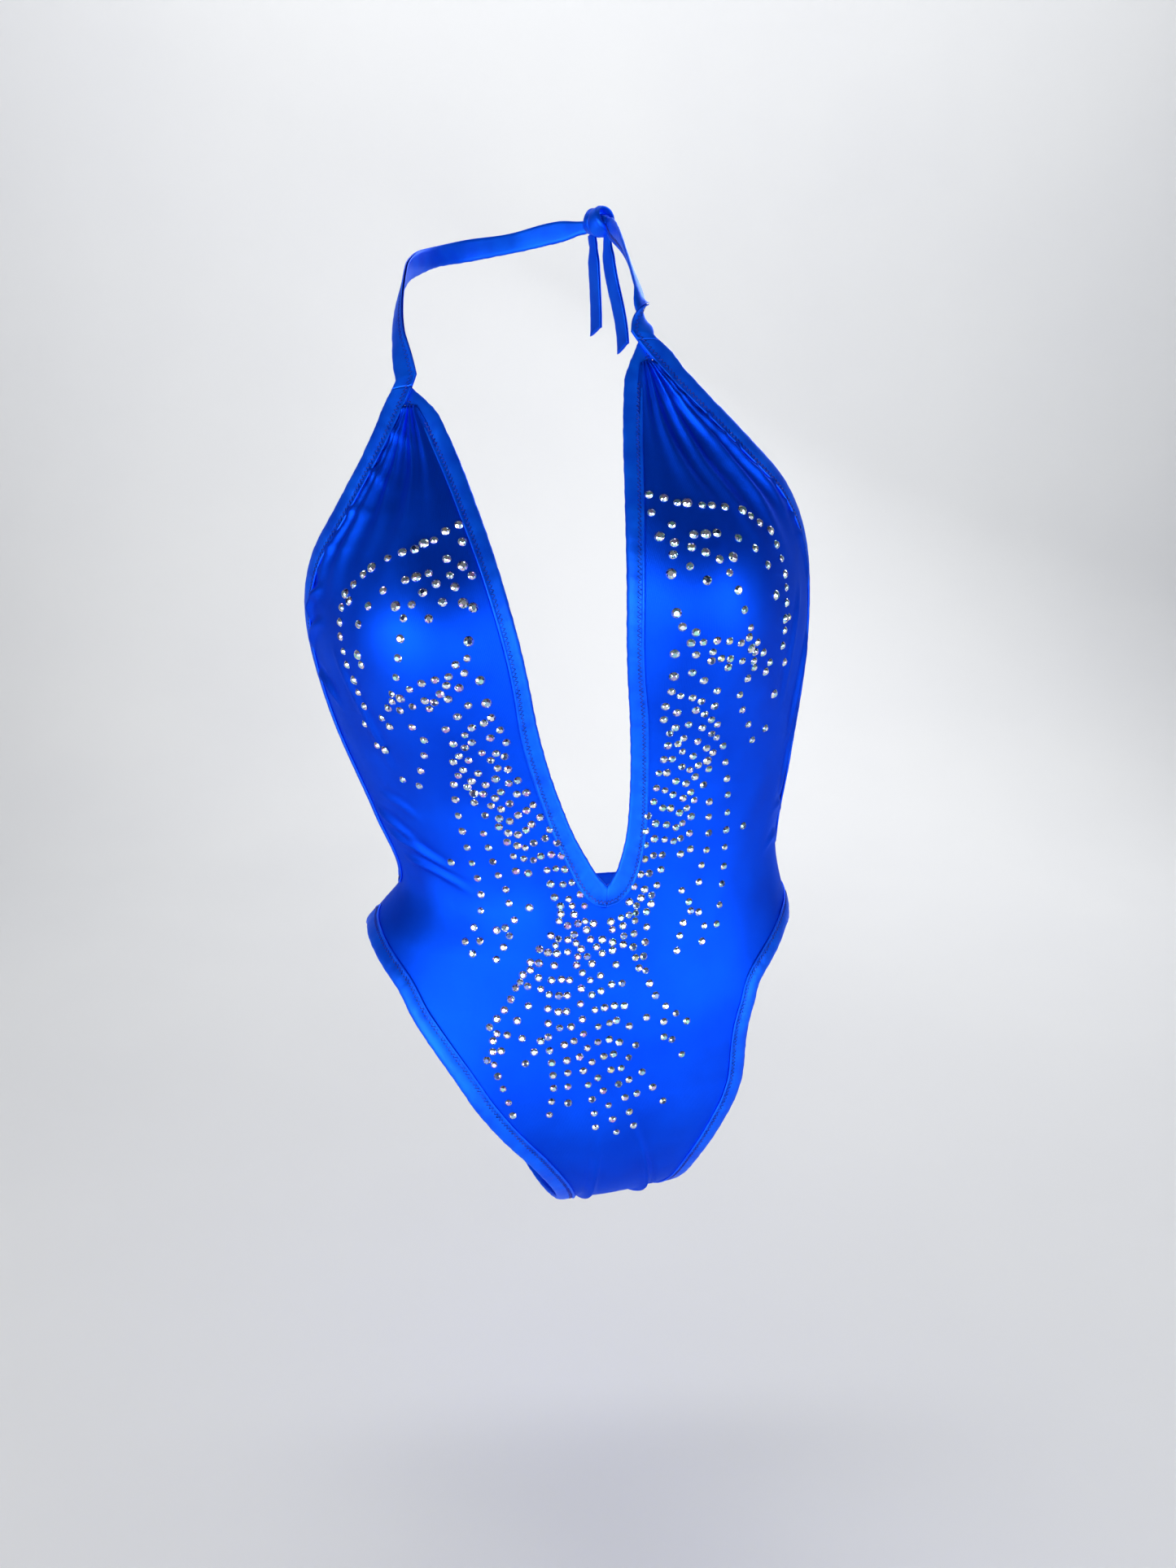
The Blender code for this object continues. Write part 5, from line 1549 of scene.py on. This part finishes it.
def build_room():
    """A pale floor that curves up into a backdrop, and soft lamps."""
    look, nodes, links, shader = new_look("pale_floor")
    colour, noise = varied_colour(nodes, links, (0.84, 0.85, 0.87), (0.88, 0.89, 0.90), 0.6)
    links.new(colour, shader.inputs["Base Color"])
    shader.inputs["Roughness"].default_value = 0.85
    profile = [(-3.0, FLOOR), (1.2, FLOOR)]
    bend = np.linspace(0.1, math.pi / 2, 14)
    profile += [(1.2 + 0.8 * math.sin(t), FLOOR + 0.8 * (1 - math.cos(t))) for t in bend]
    profile.append((2.0, 3.0))
    points = [(x, y, z) for y, z in profile for x in (-3.5, 3.5)]
    faces = [(2 * i, 2 * i + 1, 2 * i + 3, 2 * i + 2) for i in range(len(profile) - 1)]
    floor = mesh_piece("floor", points, faces, look)
    world = bpy.data.worlds.new("room")
    world.use_nodes = True
    nodes, links = world.node_tree.nodes, world.node_tree.links
    back = nodes["Background"]
    place = nodes.new("ShaderNodeTexCoord")
    split = nodes.new("ShaderNodeSeparateXYZ")
    ramp = nodes.new("ShaderNodeValToRGB")
    ramp.color_ramp.elements[0].position = 0.0
    ramp.color_ramp.elements[0].color = (0.20, 0.21, 0.23, 1)
    ramp.color_ramp.elements[1].position = 0.55
    ramp.color_ramp.elements[1].color = (0.035, 0.037, 0.042, 1)
    links.new(place.outputs["Generated"], split.inputs["Vector"])
    links.new(split.outputs["Z"], ramp.inputs["Fac"])
    links.new(ramp.outputs["Color"], back.inputs["Color"])
    bpy.context.scene.world = world
    for name, place, aim, size, power, colour in LAMPS:
        lamp = bpy.data.lights.new(name, "AREA")
        lamp.shape = "RECTANGLE"
        lamp.size, lamp.size_y = size
        lamp.energy = power
        lamp.color = colour
        made = bpy.data.objects.new(name, lamp)
        bpy.context.scene.collection.objects.link(made)
        made.location = place
        made.rotation_mode = "QUATERNION"
        made.rotation_quaternion = (Vector(aim) - Vector(place)).to_track_quat("-Z", "Y")


# name, place, what it points at, size, watts and colour
LAMPS = (
    ("front_left_softbox", (-1.25, -1.45, -0.05), (0.0, 0.0, 0.0), (1.5, 0.9), 30.0, (1.0, 0.98, 0.95)),
    ("front_right_softbox", (1.35, -1.15, -0.05), (0.0, 0.0, 0.0), (0.9, 0.9), 17.0, (0.95, 0.97, 1.0)),
    ("low_front_fill", (0.05, -1.5, -0.30), (0.0, 0.0, -0.05), (1.4, 0.5), 8.0, (1.0, 1.0, 1.0)),
    ("backdrop_lamp", (0.0, 0.9, 1.9), (0.0, 1.9, 0.0), (3.0, 0.6), 22.0, (1.0, 1.0, 1.0)),
    ("back_softbox", (0.6, 1.5, 1.0), (0.0, 0.0, 0.0), (1.2, 0.8), 12.0, (1.0, 1.0, 1.0)),
)
CAMERA_PLACE = (0.0, -0.665, 0.2225)
CAMERA_PITCH = 15.0
CAMERA_ROLL = -1.2
CAMERA_LENS = 34.93


def build_camera():
    """A camera at chest height that looks slightly down and is held a little askew."""
    pitch, roll = math.radians(CAMERA_PITCH), math.radians(CAMERA_ROLL)
    forward = Vector((0, math.cos(pitch), -math.sin(pitch)))
    right = Vector((1, 0, 0))
    up = right.cross(forward)
    turned_right = right * math.cos(roll) + up * math.sin(roll)
    turned_up = up * math.cos(roll) - right * math.sin(roll)
    frame_axes = Matrix((turned_right, turned_up, -forward)).transposed().to_4x4()
    lens = bpy.data.cameras.new("camera")
    lens.sensor_fit = "HORIZONTAL"
    lens.sensor_width = 36.0
    lens.lens = CAMERA_LENS
    made = bpy.data.objects.new("camera", lens)
    bpy.context.scene.collection.objects.link(made)
    made.matrix_world = Matrix.Translation(CAMERA_PLACE) @ frame_axes
    bpy.context.scene.camera = made
    bpy.context.scene.view_settings.view_transform = "Standard"


build_front()
build_back()
build_gusset()
for side in SIDE_NAMES:
    build_cup_lining(side)
    build_tail(side)
build_bindings()
build_knot()
build_seams()
build_crystals()
build_room()
build_camera()
